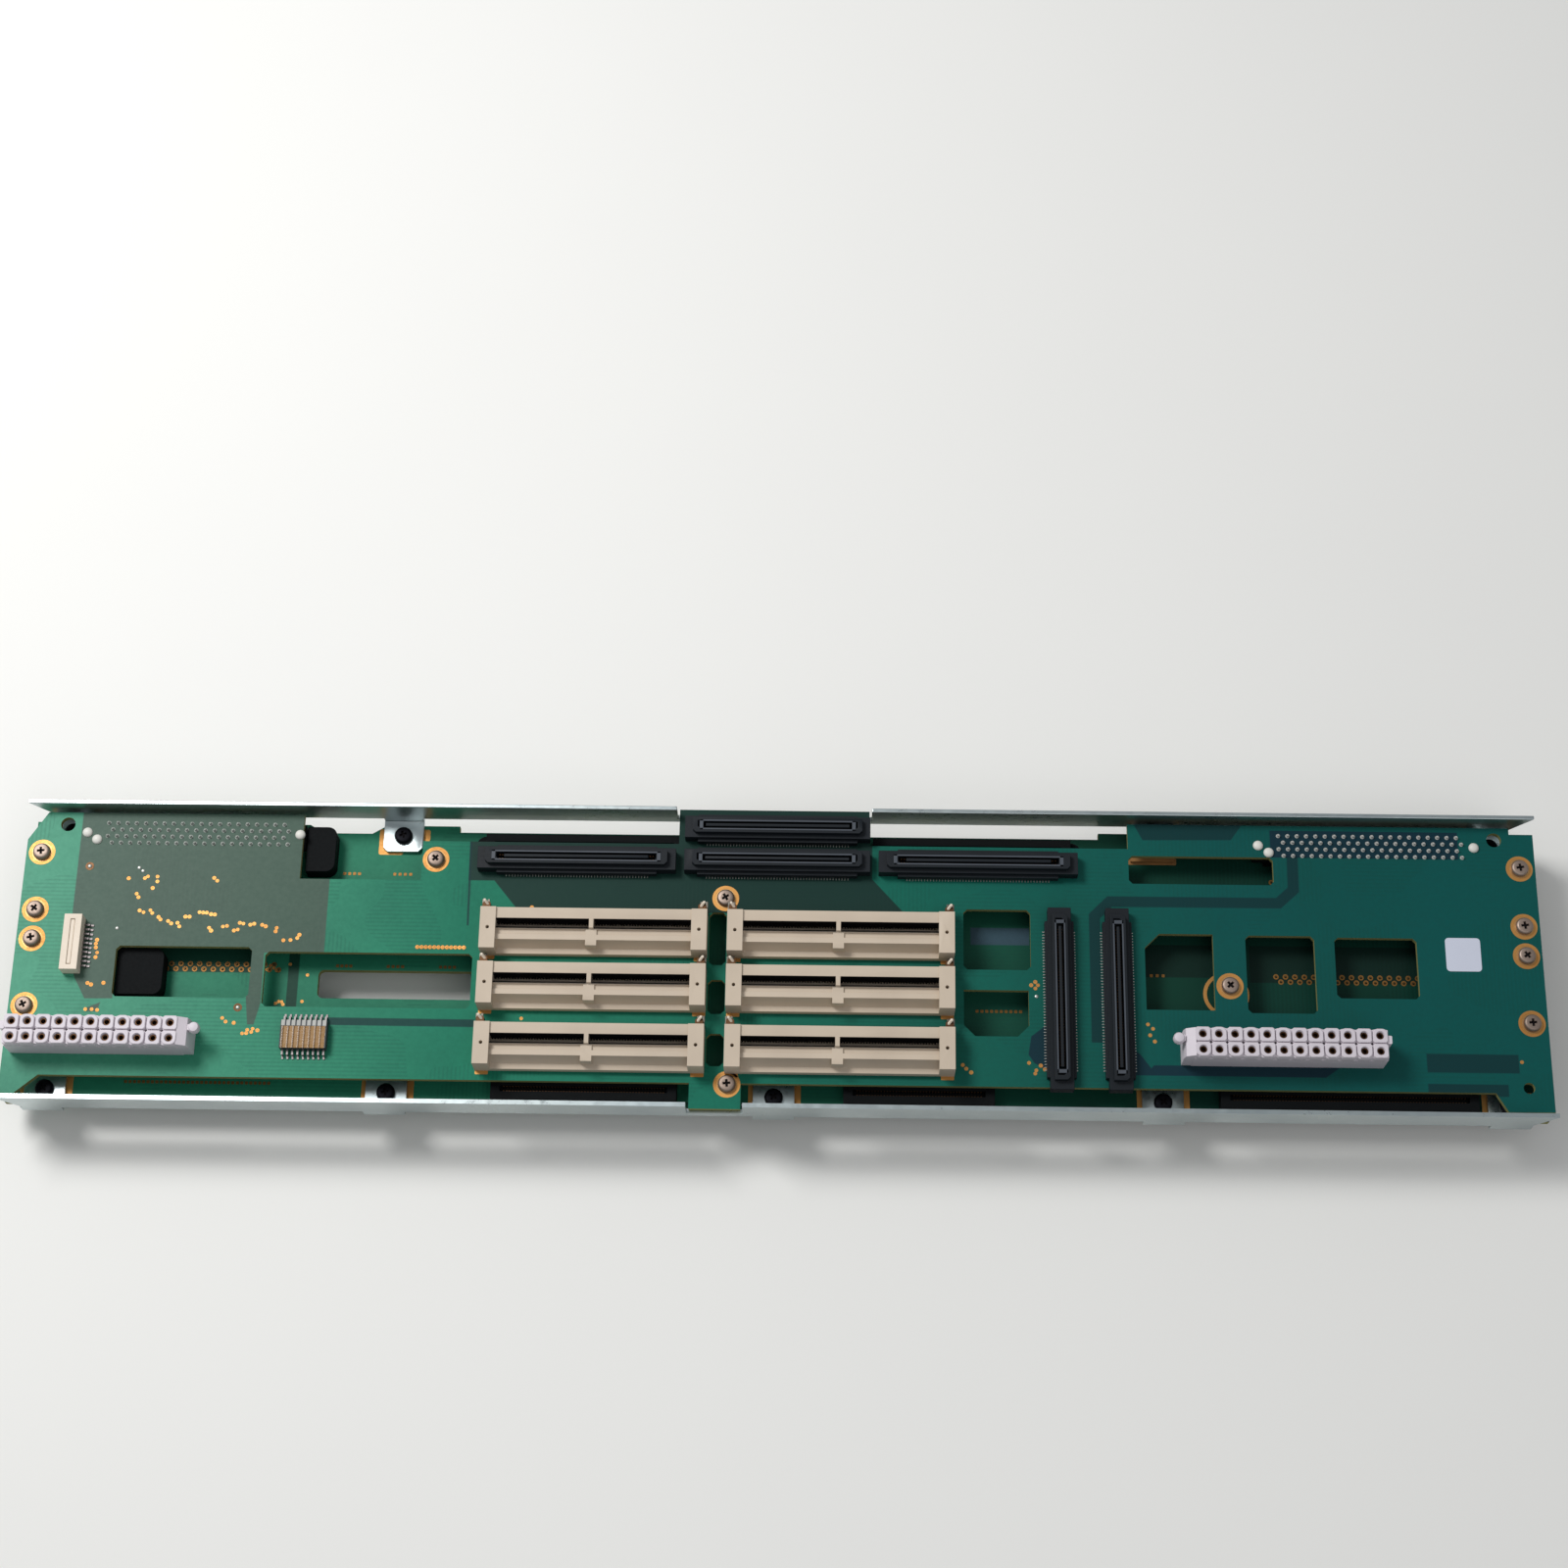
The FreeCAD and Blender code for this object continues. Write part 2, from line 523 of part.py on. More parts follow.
# Card sockets: long moulding with a keyed slot, a stepped ledge and a sloped front.
def build_card_socket(number, x, y):
    socket = new_body("card_socket_%d" % number, (x, y, rear_top))
    back = card_depth + " / 2"
    front = "-" + back
    slot_back = back + " - card_bar"
    slot_front = slot_back + " - card_slot"
    ledge_front = slot_front + " - card_ledge"
    ledge = "card_height - card_ledge_drop"
    section = new_sketch(socket, "section", "YZ_Plane")
    add_outline(section, [
        (front + " + card_foot_depth", "0"), (back, "0"), (back, "card_height"),
        (slot_front, "card_height"), (slot_front, ledge), (ledge_front, ledge),
        (ledge_front, "card_ramp_top"), (front + " + card_foot_depth", "card_ramp_foot")])
    pad(socket, section, "card_length - 2 * card_tower", midplane=True)
    towers = new_sketch(socket, "towers")
    for side in ("-", ""):
        outside = side + "card_length / 2"
        inside = side + "(card_length / 2 - card_tower)"
        first, last = (outside, inside) if side else (inside, outside)
        add_box(towers, first, last, front, back)
    pad(socket, towers, "card_height + card_tower_rise")
    lip = new_sketch(socket, "lip")
    add_box(lip, "-(card_length / 2 - card_tower)", "card_length / 2 - card_tower",
            front, front + " + card_foot_depth")
    pad(socket, lip, "card_ramp_foot")
    slots = new_sketch(socket, "slots", lift="card_height")
    end = "card_length / 2 - card_tower"
    add_box(slots, "-(" + end + ")", "card_key_offset - card_key / 2", slot_front, slot_back)
    add_box(slots, "card_key_offset + card_key / 2", end, slot_front, slot_back)
    pocket(socket, slots, "card_slot_depth")
    groove = new_sketch(socket, "groove", lift=ledge)
    groove_back = slot_front + " - card_groove_step"
    add_box(groove, "-(" + end + ")", end, groove_back + " - card_groove_width", groove_back)
    pocket(socket, groove, "card_groove")
    foot = new_sketch(socket, "key_foot")
    add_box(foot, "card_key_offset - card_foot_width / 2", "card_key_offset + card_foot_width / 2",
            ledge_front + " - card_foot_depth", slot_front)
    pad(socket, foot, ledge)
    marks = new_sketch(socket, "tower_holes", lift="card_height + card_tower_rise")
    for side in ("-", ""):
        add_drilling(marks, side + "(card_length / 2 - card_tower / 2)", "0", "card_hole", 6)
    pocket(socket, marks, "card_slot_depth")
    return socket


card_places = [(x, y) for x in card_columns for y in card_rows]
for number, (x, y) in enumerate(card_places, start=1):
    build_card_socket(number, x, y)


def forked_clip(outward):
    """A spring clip behind a tower: an upright leaf with two tines."""
    reach = size("clip_reach")
    metal = size("clip_metal")
    width = size("clip_width")
    height = size("clip_height")
    gap = size("clip_slot")
    leaf = block(0, width, 0, metal, 0, height)
    tines = [block(0, (width - gap) / 2, metal, reach, height - metal, height),
             block((width + gap) / 2, width, metal, reach, height - metal, height)]
    clip = leaf.multiFuse(tines).removeSplitter()
    if outward < 0:
        clip = clip.mirror(vector(width / 2, 0, 0), vector(1, 0, 0))
    return clip


clips = []
for x, y in card_places:
    for side in (-1, 1):
        corner = size(x) + side * size("card_length / 2")
        clip = forked_clip(side)
        start = corner if side < 0 else corner - size("clip_width")
        clip.translate(vector(start, size(y + " + " + card_depth + " / 2"), size(rear_top)))
        clips.append(clip)
solid_group("socket_clips", clips)


# White power connectors: a block whose top is cut into square silos.
def build_power_connector(label, columns, x, y, turn):
    place = (x, y, rear_top)
    shift = "power_ear_shift" if turn == 0 else "-power_ear_shift"
    housing = new_body(label, place, turn)
    last = "(" + columns + " - 1) * power_pitch"
    half = "power_pitch / 2 + power_wall"
    section = new_sketch(housing, "body")
    add_box(section, "-power_wall", last + " + power_wall", "-(" + half + ")", half)
    pad(housing, section, "power_height")
    ledge = new_sketch(housing, "ledge")
    add_outline(ledge, [
        ("-power_wall - power_ledge", "-(" + half + ")"), ("-power_wall", "-(" + half + ")"),
        ("-power_wall", half), ("-power_wall - power_ledge", half)])
    pad(housing, ledge, "power_ledge_height")
    nib = new_sketch(housing, "nib")
    low, high = shift + " - power_nib_width / 2", shift + " + power_nib_width / 2"
    add_box(nib, last + " + power_wall", last + " + power_wall + power_nib", low, high)
    pad(housing, nib, "power_ledge_height")
    rows = new_sketch(housing, "row_groove", lift="power_height")
    add_box(rows, "-power_wall", last + " + power_wall", "-power_groove / 2", "power_groove / 2")
    pocket(housing, rows, "power_groove_depth")
    cross = new_sketch(housing, "column_groove", lift="power_height")
    add_box(cross, "power_pitch / 2 - power_groove / 2", "power_pitch / 2 + power_groove / 2",
            "-(" + half + ")", half)
    repeat(housing, pocket(housing, cross, "power_groove_depth"), "power_pitch", columns + " - 1")
    bores = new_sketch(housing, "bores", lift="power_height")
    for side in ("-", ""):
        add_drilling(bores, "0", side + "power_pitch / 2", "power_bore")
    repeat(housing, pocket(housing, bores, "power_bore_depth"), "power_pitch", columns)
    ear_level = "power_height - power_ear_height"
    ledge_end = "-power_wall - power_ledge"
    stem = new_sketch(housing, "ear_stem", lift=ear_level)
    add_box(stem, ledge_end + " - power_ear_stem", ledge_end, low, high)
    pad(housing, stem, "power_ledge_height - (" + ear_level + ")")
    ear = new_sketch(housing, "ear", lift=ear_level)
    add_drilling(ear, ledge_end + " - power_ear_stem", shift, "power_ear", 12)
    pad(housing, ear, "power_ear_height")
    pins = []
    floor = size("power_height - power_bore_depth")
    wide = size("power_pin / 2")
    for column in range(int(size(columns))):
        for side in (-1, 1):
            pin_x = column * size("power_pitch")
            pin_y = side * size("power_pitch / 2")
            pins.append(block(pin_x - wide, pin_x + wide, pin_y - wide, pin_y + wide,
                              floor, floor + size("power_pin_height")))
    solid_group(label.replace("connector", "contacts"), pins, place, turn)


build_power_connector("power_connector_right", "power_columns", along("power_right_x"),
                      "power_right_y", 0)
build_power_connector("power_connector_left", "power_left_columns",
                      "-(board_length / 2 - power_left_end)", "power_left_y", 180)


# Black cable connectors: a shroud with a tongue in its slot, a low skirt and two end flanges.
def build_cable_connector(number, length, x, y, turn=0):
    shell = new_body("cable_connector_%d" % number, (x, y, rear_top), turn)
    wide = "cable_shroud / 2"
    inner = length + " / 2 - cable_flange"
    flange = new_sketch(shell, "flange")
    reach = wide + " + cable_flange_reach"
    add_box(flange, "-" + length + " / 2", length + " / 2", "-(" + reach + ")", reach)
    pad(shell, flange, "cable_flange_height")
    shroud = new_sketch(shell, "shroud")
    add_outline(shroud, [
        ("-(" + inner + ")", "-" + wide + " + cable_corner"),
        ("-(" + inner + ") + cable_corner", "-" + wide),
        (inner + " - cable_corner", "-" + wide), (inner, "-" + wide + " + cable_corner"),
        (inner, wide), ("-(" + inner + ")", wide)])
    pad(shell, shroud, "cable_height")
    skirt = new_sketch(shell, "skirt")
    reach = wide + " + cable_skirt"
    add_box(skirt, "-cable_slot / 2", "cable_slot / 2", "-(" + reach + ")", reach)
    pad(shell, skirt, "cable_skirt_height")
    slot = new_sketch(shell, "slot", lift="cable_height")
    half_slot = "cable_slot_width / 2"
    add_outline(slot, [
        ("-cable_slot / 2", "-" + half_slot + " + cable_corner"),
        ("-cable_slot / 2 + cable_corner", "-" + half_slot),
        ("cable_slot / 2 - cable_corner", "-" + half_slot),
        ("cable_slot / 2", "-" + half_slot + " + cable_corner"),
        ("cable_slot / 2", half_slot), ("-cable_slot / 2", half_slot)])
    add_box(slot, "-cable_slot / 2 + cable_flange", "cable_slot / 2 - cable_flange",
            "-cable_tongue / 2", "cable_tongue / 2")
    pocket(shell, slot, "cable_slot_depth")
    return shell


build_cable_connector(1, "cable_long", "cable_far_left", "cable_row")
build_cable_connector(2, "cable_short", "cable_bridge", bridge_reach + " - cable_bridge_edge")
build_cable_connector(3, "cable_short", "cable_bridge", "cable_row")
build_cable_connector(4, "cable_long", "cable_far_right", "cable_row")
build_cable_connector(5, "cable_short", "cable_upright_a", "cable_upright_y", 90)
build_cable_connector(6, "cable_short", "cable_upright_b", "cable_upright_y", 90)


# Low black connectors along the drive board's edges.
def build_low_connector(label, left, right, y, ear=0):
    shell = new_body(label, ("0", y, drive_top))
    wide = "low_depth / 2"
    plan = new_sketch(shell, "plan")
    add_box(plan, left, right, "-" + wide, wide)
    pad(shell, plan, "low_height")
    slot = new_sketch(shell, "slot", lift="low_height")
    add_box(slot, left + " + low_end_wall", right + " - low_end_wall", "-low_slot / 2", "low_slot / 2")
    pocket(shell, slot, "low_slot_depth")
    if ear:
        end = left if ear < 0 else right
        round_ear = new_sketch(shell, "ear")
        add_drilling(round_ear, end, "0", "low_ear", 12)
        pad(shell, round_ear, "low_slot_depth")
    return shell


low_top_line = side_relief + " - low_top_inset - low_depth / 2"
low_ends = [("low_third_left", "low_third_right"), ("low_fourth_left", "low_fourth_right"),
            (tab_inner + " + rail_tab_width / 2 + low_fifth_near",
             tab_outer + " - rail_tab_width / 2 - low_fifth_far")]
build_low_connector("low_connector_1", "-(low_side_inner + low_side_length)", "-low_side_inner",
                    low_top_line, ear=-1)
build_low_connector("low_connector_2", "low_side_inner", "low_side_inner + low_side_length",
                    low_top_line, ear=1)
for number, (left, right) in enumerate(low_ends, start=3):
    build_low_connector("low_connector_%d" % number, left, right,
                        "-(board_half_width - low_bottom_edge)")

plug_side = link_x + " - link_plug_length / 2"
guide_top_x = "-(" + plug_side + " - guide_top_gap - guide_block_top_width / 2)"
for end, width, x, y in (
        ("top", "guide_block_top_width", guide_top_x, "board_half_width - guide_top_edge"),
        ("middle", "guide_block_width", along("guide_middle_x"), "guide_middle_y")):
    guide = new_body("guide_block_" + end, (x, y, drive_top))
    plan = new_sketch(guide, "plan")
    add_box(plan, "-" + width + " / 2", width + " / 2", "-guide_block_depth / 2", "guide_block_depth / 2")
    pad(guide, plan, "guide_block_height")
    origin_x, origin_y = size(x), size(y)
    right_side = origin_x + size(width + " / 2")
    ends = [(right_side, origin_y + way * size("guide_block_depth / 2")) for way in (-1, 1)]
    fillet(guide, upright_edges(guide, ends), "guide_block_corner")


# Drive connectors: shrouded receptacles that hang under the drive board.
def build_drive_connector(number, x, y):
    shell = new_body("drive_connector_%d" % number, (x, y, "0"))
    plan = new_sketch(shell, "plan")
    add_box(plan, "-drive_length / 2", "drive_length / 2", "-drive_depth / 2", "drive_depth / 2")
    pad(shell, plan, drive_bottom)
    cavity = new_sketch(shell, "cavity")
    half_cavity = "drive_cavity_width / 2"
    add_outline(cavity, [
        ("-drive_cavity / 2 + drive_corner", "-" + half_cavity),
        ("drive_cavity / 2 - drive_corner", "-" + half_cavity),
        ("drive_cavity / 2", "-" + half_cavity + " + drive_corner"), ("drive_cavity / 2", half_cavity),
        ("-drive_cavity / 2", half_cavity), ("-drive_cavity / 2", "-" + half_cavity + " + drive_corner")])
    add_box(cavity, "-drive_cavity / 2 + drive_corner * 2", "drive_cavity / 2 - drive_corner * 2",
            "-drive_tongue / 2", "drive_tongue / 2")
    pocket(shell, cavity, "drive_cavity_depth", upward=True)
    return shell


last_column = "(board_length / 2 - drive_end - drive_length / 2)"
drive_columns = ["-" + last_column, "-" + last_column + " / 3", last_column + " / 3", last_column]
drive_rows = ["drive_shift_y + drive_pitch_y", "drive_shift_y", "drive_shift_y - drive_pitch_y"]
drive_places = [(x, y) for y in drive_rows for x in drive_columns]
for number, (x, y) in enumerate(drive_places, start=1):
    build_drive_connector(number, x, y)


# Board links: a plug under the rear board seated in a socket on the drive board.
def build_link(side, middle):
    half_depth = "link_depth / 2"
    for label, length, level, height in (
            ("link_socket_" + side, "link_socket_length", drive_top, "link_split"),
            ("link_plug_" + side, "link_plug_length", drive_top + " + link_split",
             "board_gap - link_split")):
        shell = new_body(label, (middle, link_y, level))
        plan = new_sketch(shell, "plan")
        add_box(plan, "-" + length + " / 2", length + " / 2", "-" + half_depth, half_depth)
        pad(shell, plan, height)
    tails = []
    foot = size("tail_base / 2")
    rise = size("tail_rise")
    count = int(size("tail_count"))
    for row in range(4):
        y = (1.5 - row) * size("tail_row")
        stagger = (row % 2) * size("tail_pitch / 2")
        for column in range(count):
            x = (column - (count - 1) / 2) * size("tail_pitch") + stagger + size("tail_shift")
            corners = [vector(x - foot, y - foot), vector(x + foot, y - foot),
                       vector(x + foot, y + foot), vector(x - foot, y + foot)]
            tip = vector(x, y, rise)
            faces = [Part.Face(Part.makePolygon(corners + corners[:1]))]
            for index in range(4):
                edge = [corners[index], corners[(index + 1) % 4], tip, corners[index]]
                faces.append(Part.Face(Part.makePolygon(edge)))
            tails.append(Part.Solid(Part.Shell(faces)))
    half_span = size("peg_span / 2")
    second = (-half_span + size("peg_second_x"), -size("peg_second_y"))
    for x, y in ((-half_span, 0.0), second, (half_span, 0.0)):
        tails.append(tapered_post(vector(x, y), size("peg_rise"), size("peg_radius"),
                                  size("peg_radius")))
    solid_group("link_tails_" + side, tails, (middle, link_y, rear_top))


build_link("left", "-" + link_x)
build_link("right", link_x)

# White flat-cable connector and its leads.
flex_x = "-(board_length / 2 - flex_end)"
flex = new_body("flex_connector", (flex_x, "flex_y", rear_top))
plan = new_sketch(flex, "plan")
add_box(plan, "-flex_width / 2", "flex_width / 2", "-flex_length / 2", "flex_length / 2")
pad(flex, plan, "flex_height")
mouth = new_sketch(flex, "mouth", lift="flex_height")
add_box(mouth, "-flex_slot / 2", "flex_slot / 2", "-flex_length / 2 + flex_wall",
        "flex_length / 2 - flex_wall")
pocket(flex, mouth, "flex_slot_depth")


def lead_row(count, pitch, edge, reach, height, way):
    """Gull-wing leads that leave a wall at the given height and reach the board."""
    metal = size("lead_metal")
    half = size("lead_width / 2")
    leads = []
    for index in range(count):
        middle = (index - (count - 1) / 2) * pitch
        section = [(0, height), (reach / 2, height), (reach / 2, 0), (reach, 0), (reach, metal),
                   (reach / 2 + metal, metal), (reach / 2 + metal, height + metal), (0, height + metal)]
        corners = [vector(edge + way * out, middle - half, up) for out, up in section]
        wire = Part.makePolygon(corners + corners[:1])
        leads.append(Part.Face(wire).extrude(vector(0, 2 * half, 0)))
    return leads


flex_pitch = size("(flex_length - 2 * flex_wall) / flex_lead_count")
solid_group("flex_leads", lead_row(int(size("flex_lead_count")), flex_pitch, size("flex_width / 2"),
                                   size("flex_lead"), size("lead_metal * 2"), 1),
            (flex_x, "flex_y", rear_top))

# Switch block on gull-wing leads, with a strip of clear tape over its top.
switch_x = along("switch_x")
switch = new_body("switch_block", (switch_x, "switch_y", rear_top + " + switch_lift"))
plan = new_sketch(switch, "plan")
add_box(plan, "-switch_length / 2", "switch_length / 2", "-switch_depth / 2", "switch_depth / 2")
pad(switch, plan, "switch_height")
tape = new_body("switch_tape", (switch_x, "switch_y", rear_top + " + switch_lift + switch_height"))
plan = new_sketch(tape, "plan")
add_box(plan, "-switch_length / 2 + tape_inset", "switch_length / 2 - tape_inset",
        "-switch_depth / 2", "switch_depth / 2 - tape_inset * 4")
pad(tape, plan, "tape_metal")
switch_pitch = size("switch_length / switch_lead_count")
lead_height = size("switch_lift + switch_height / 3")
leads = []
for way in (-1, 1):
    row = lead_row(int(size("switch_lead_count")), switch_pitch, way * size("switch_depth / 2"),
                   size("switch_lead"), lead_height, way)
    for lead in row:
        lead.rotate(vector(0, 0, 0), vector(0, 0, 1), 90)
        leads.append(lead)
solid_group("switch_leads", leads, (switch_x, "switch_y", rear_top))

doc.recompute()
for item in doc.Objects:
    if "Invalid" in item.State or "Error" in item.State:
        raise RuntimeError(item.Name + " failed: " + ", ".join(item.State))
nodes = [item for item in doc.Objects if item.isDerivedFrom("PartDesign::Body")
         or item.TypeId == "Part::Feature"]
for node in nodes:
    if node.Shape.isNull() or not node.Shape.isValid():
        raise RuntimeError(node.Label + " has no valid shape")
    node.Shape.exportStep("parts/" + node.Label + ".step")
print(len(nodes), "nodes written")
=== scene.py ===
import math
import random
import bmesh
import bpy
from mathutils import Matrix, Vector


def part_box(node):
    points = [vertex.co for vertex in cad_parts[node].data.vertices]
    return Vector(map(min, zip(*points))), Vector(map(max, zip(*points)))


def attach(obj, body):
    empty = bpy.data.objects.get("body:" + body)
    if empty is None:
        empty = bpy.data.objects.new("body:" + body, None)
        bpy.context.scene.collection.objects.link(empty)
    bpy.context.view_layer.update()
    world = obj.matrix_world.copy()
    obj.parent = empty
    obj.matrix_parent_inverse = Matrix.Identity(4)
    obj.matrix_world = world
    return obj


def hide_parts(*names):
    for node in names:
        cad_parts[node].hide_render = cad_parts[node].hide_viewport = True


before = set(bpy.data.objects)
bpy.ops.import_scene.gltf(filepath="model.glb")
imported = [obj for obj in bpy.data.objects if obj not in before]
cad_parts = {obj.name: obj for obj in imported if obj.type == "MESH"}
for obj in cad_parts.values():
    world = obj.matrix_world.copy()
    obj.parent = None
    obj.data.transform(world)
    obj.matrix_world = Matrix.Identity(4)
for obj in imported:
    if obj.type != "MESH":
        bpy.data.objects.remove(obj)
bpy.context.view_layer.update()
print("frame loaded:", len(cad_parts), "nodes")

mm = 0.001


# --- shader maths: a socket that can be added, multiplied and compared

class Wire:
    def __init__(self, finish, socket):
        self.finish = finish
        self.socket = socket

    def calc(self, operation, first, second=None):
        sockets = {0: first} if second is None else {0: first, 1: second}
        return self.finish.add("ShaderNodeMath", {"operation": operation}, sockets)

    def __add__(self, other):
        return self.calc("ADD", self, other)

    def __radd__(self, other):
        return self.calc("ADD", other, self)

    def __sub__(self, other):
        return self.calc("SUBTRACT", self, other)

    def __rsub__(self, other):
        return self.calc("SUBTRACT", other, self)

    def __mul__(self, other):
        return self.calc("MULTIPLY", self, other)

    def __rmul__(self, other):
        return self.calc("MULTIPLY", other, self)

    def __truediv__(self, other):
        return self.calc("DIVIDE", self, other)

    def __rtruediv__(self, other):
        return self.calc("DIVIDE", other, self)

    def __gt__(self, other):
        return self.calc("GREATER_THAN", self, other)

    def __lt__(self, other):
        return self.calc("LESS_THAN", self, other)

    def __abs__(self):
        return self.calc("ABSOLUTE", self)

    def clamped(self):
        return self.finish.add("ShaderNodeClamp", None, {0: self})

    def folded(self, span):
        return self.calc("PINGPONG", self, span)

    def orElse(self, other):
        return self.calc("MAXIMUM", self, other)

    def orLess(self, other):
        return self.calc("MINIMUM", self, other)


class Finish:
    # a material built node by node around one Principled shader
    def __init__(self, name, **fixed):
        self.material = bpy.data.materials.new(name)
        self.material.use_nodes = True
        self.tree = self.material.node_tree
        self.tree.nodes.clear()
        self.shader = self.tree.nodes.new("ShaderNodeBsdfPrincipled")
        output = self.tree.nodes.new("ShaderNodeOutputMaterial")
        self.tree.links.new(self.shader.outputs[0], output.inputs[0])
        for socketName, value in fixed.items():
            self.feed(socketName.replace("_", " "), value)

    def put(self, socket, value):
        if isinstance(value, Wire):
            self.tree.links.new(value.socket, socket)
        else:
            socket.default_value = value

    def feed(self, socketName, value):
        self.put(self.shader.inputs[socketName], value)

    def add(self, kind, settings=None, sockets=None, output=0):
        node = self.tree.nodes.new(kind)
        for key, value in (settings or {}).items():
            setattr(node, key, value)
        for key, value in (sockets or {}).items():
            self.put(node.inputs[key], value)
        return Wire(self, node.outputs[output])

    def blend(self, mask, first, second):
        return self.add("ShaderNodeMix", {"data_type": "RGBA"}, {0: mask, 6: first, 7: second}, 2)

    def place(self):
        return self.add("ShaderNodeTexCoord", None, None, 3)

    def axes(self):
        place = self.place()
        return [self.add("ShaderNodeSeparateXYZ", None, {0: place}, index) for index in range(3)]

    def facing(self):
        geometry = self.add("ShaderNodeNewGeometry", None, None, 1)
        return self.add("ShaderNodeSeparateXYZ", None, {0: geometry}, 2)

    def noise(self, scale, detail=4, rough=0.55, stretch=None):
        place = self.place()
        if stretch:
            place = self.add("ShaderNodeVectorMath", {"operation": "MULTIPLY"}, {0: place, 1: stretch})
        return self.add("ShaderNodeTexNoise", None,
                        {"Vector": place, "Scale": scale, "Detail": detail, "Roughness": rough})

    def relief(self, height, strength, distance):
        sockets = {"Strength": strength, "Distance": distance, "Height": height}
        self.feed("Normal", self.add("ShaderNodeBump", None, sockets))


def colour(red, green, blue):
    # sRGB 0-255 to linear, as the shader wants it
    parts = []
    for part in (red, green, blue):
        part = part / 255
        parts.append(part / 12.92 if part <= 0.04045 else ((part + 0.055) / 1.055) ** 2.4)
    return (*parts, 1.0)


def field(finish, place, corners, soft=0.25):
    # 1 inside a convex outline given in millimetres, with a soft edge
    middleX = sum(x for x, y in corners) / len(corners)
    middleY = sum(y for x, y in corners) / len(corners)
    inside = None
    for (x1, y1), (x2, y2) in zip(corners, corners[1:] + corners[:1]):
        across, along = y2 - y1, x1 - x2
        length = math.hypot(across, along)
        if (middleX - x1) * across + (middleY - y1) * along < 0:
            length = -length
        across, along = across / length, along / length
        depth = finish.add("ShaderNodeVectorMath", {"operation": "DOT_PRODUCT"},
                           {0: place, 1: (across / mm, along / mm, 0)}, 1) - (x1 * across + y1 * along)
        inside = depth if inside is None else inside.orLess(depth)
    return (inside / soft + 0.5).clamped()


def strip(points, width):
    # the outlines of a band that runs from point to point
    outlines = []
    for (x1, y1), (x2, y2) in zip(points, points[1:]):
        length = math.hypot(x2 - x1, y2 - y1)
        dx, dy = (x2 - x1) / length * width / 2, (y2 - y1) / length * width / 2
        x1, y1, x2, y2 = x1 - dx * 0.4, y1 - dy * 0.4, x2 + dx * 0.4, y2 + dy * 0.4
        outlines.append([(x1 - dy, y1 + dx), (x2 - dy, y2 + dx), (x2 + dy, y2 - dx), (x1 + dy, y1 - dx)])
    return outlines


def rectangle(left, right, low, high):
    return [(left, low), (right, low), (right, high), (left, high)]


# --- finishes of the two boards

# pale is a painted wash of reflected light over one end of the mask; far darkens the other end, partly the
# mask's tone over planes and partly painted shade
board = {
    "pale": colour(76, 154, 124), "mask": colour(22, 124, 94), "far": colour(4, 80, 76),
    "bare": colour(6, 68, 58), "edge": colour(150, 142, 92), "core": colour(96, 104, 62),
    "grit": colour(14, 46, 44), "olive": colour(70, 84, 74), "deep": colour(18, 42, 38),
    "band": colour(10, 46, 50), "navyAndShadow": colour(14, 38, 54),
    "paintedWashEnd": -215, "paintedWashSpan": 130, "farEnd": -110, "farSpan": 230, "layer": 0.2,
    "trackPitch": 0.55, "trackShare": 0.55, "trackStrength": 0.168, "alongX": 0.56, "alongY": 0.40,
    "mottleScale": 22, "patchScale": 38, "gritScale": 900, "rough": 0.5, "edgeRough": 0.3, "coat": 0.03,
}
# on the drive board, far darkens the right end as painted shade, and dark colours the painted shadows that
# the rear board casts into the windows
driveTone = {
    "mask": colour(38, 124, 94), "far": colour(4, 50, 38), "dark": colour(8, 30, 24),
    "grey": colour(58, 78, 92), "sheen": 0.6,
}


def maskFinish(name, pale, mask, far, fields, sheen=1.0):
    finish = Finish(name, IOR=1.5, Specular_IOR_Level=0.14, Coat_Roughness=0.2, Coat_IOR=1.5)
    place = finish.place()
    x, y, z = finish.axes()
    mottle = finish.noise(board["mottleScale"], 3)
    grit = finish.noise(board["gritScale"], 5, 0.6)
    # the mask is paler at one end, a painted wash of reflected light, and darker towards the far end, partly
    # its tone over planes and partly painted shade
    tone = finish.blend(((x / mm - board["paintedWashEnd"]) / board["paintedWashSpan"]).clamped(), pale, mask)
    tone = finish.blend(((x / mm - board["farEnd"]) / board["farSpan"]).clamped(), tone, far)
    tone = finish.blend(((mottle - 0.46) * 3).clamped() * 0.35, tone, board["bare"])
    # faint tracks run under the mask in patches, some along X and some along Y
    pitch = board["trackPitch"] * mm
    patches = finish.noise(board["patchScale"], 1, 0.4)
    alongX = y.folded(pitch) > pitch * board["trackShare"]
    alongY = x.folded(pitch) > pitch * board["trackShare"]
    tracks = alongX * (patches > board["alongX"]) + alongY * (patches < board["alongY"])
    tone = finish.blend(tracks * board["trackStrength"], tone, board["bare"])
    for shade, outlines, strength in fields:
        area = None
        for outline in outlines:
            mark = field(finish, place, outline)
            area = mark if area is None else area.orElse(mark)
        tone = finish.blend(area * strength, tone, shade)
    face = finish.blend(((grit - 0.35) * 1.6).clamped() * 0.22, tone, board["grit"])
    # cut edges show the glass layers of the board
    layer = board["layer"] * mm
    upright = (abs(finish.facing()) < 0.5) * 1.0
    glass = finish.blend((z.folded(layer) / layer).clamped(), board["edge"], board["core"])
    finish.feed("Base Color", finish.blend(upright, face, glass))
    finish.feed("Roughness", (board["rough"] + (grit - 0.5) * 0.14 + upright * board["edgeRough"]).clamped())
    finish.feed("Coat Weight", (1 - upright) * (board["coat"] * sheen))
    finish.relief(grit * 0.3 + tracks * 0.42, 0.25, 0.00005)
    return finish.material


# --- finishes of the mouldings and the metal

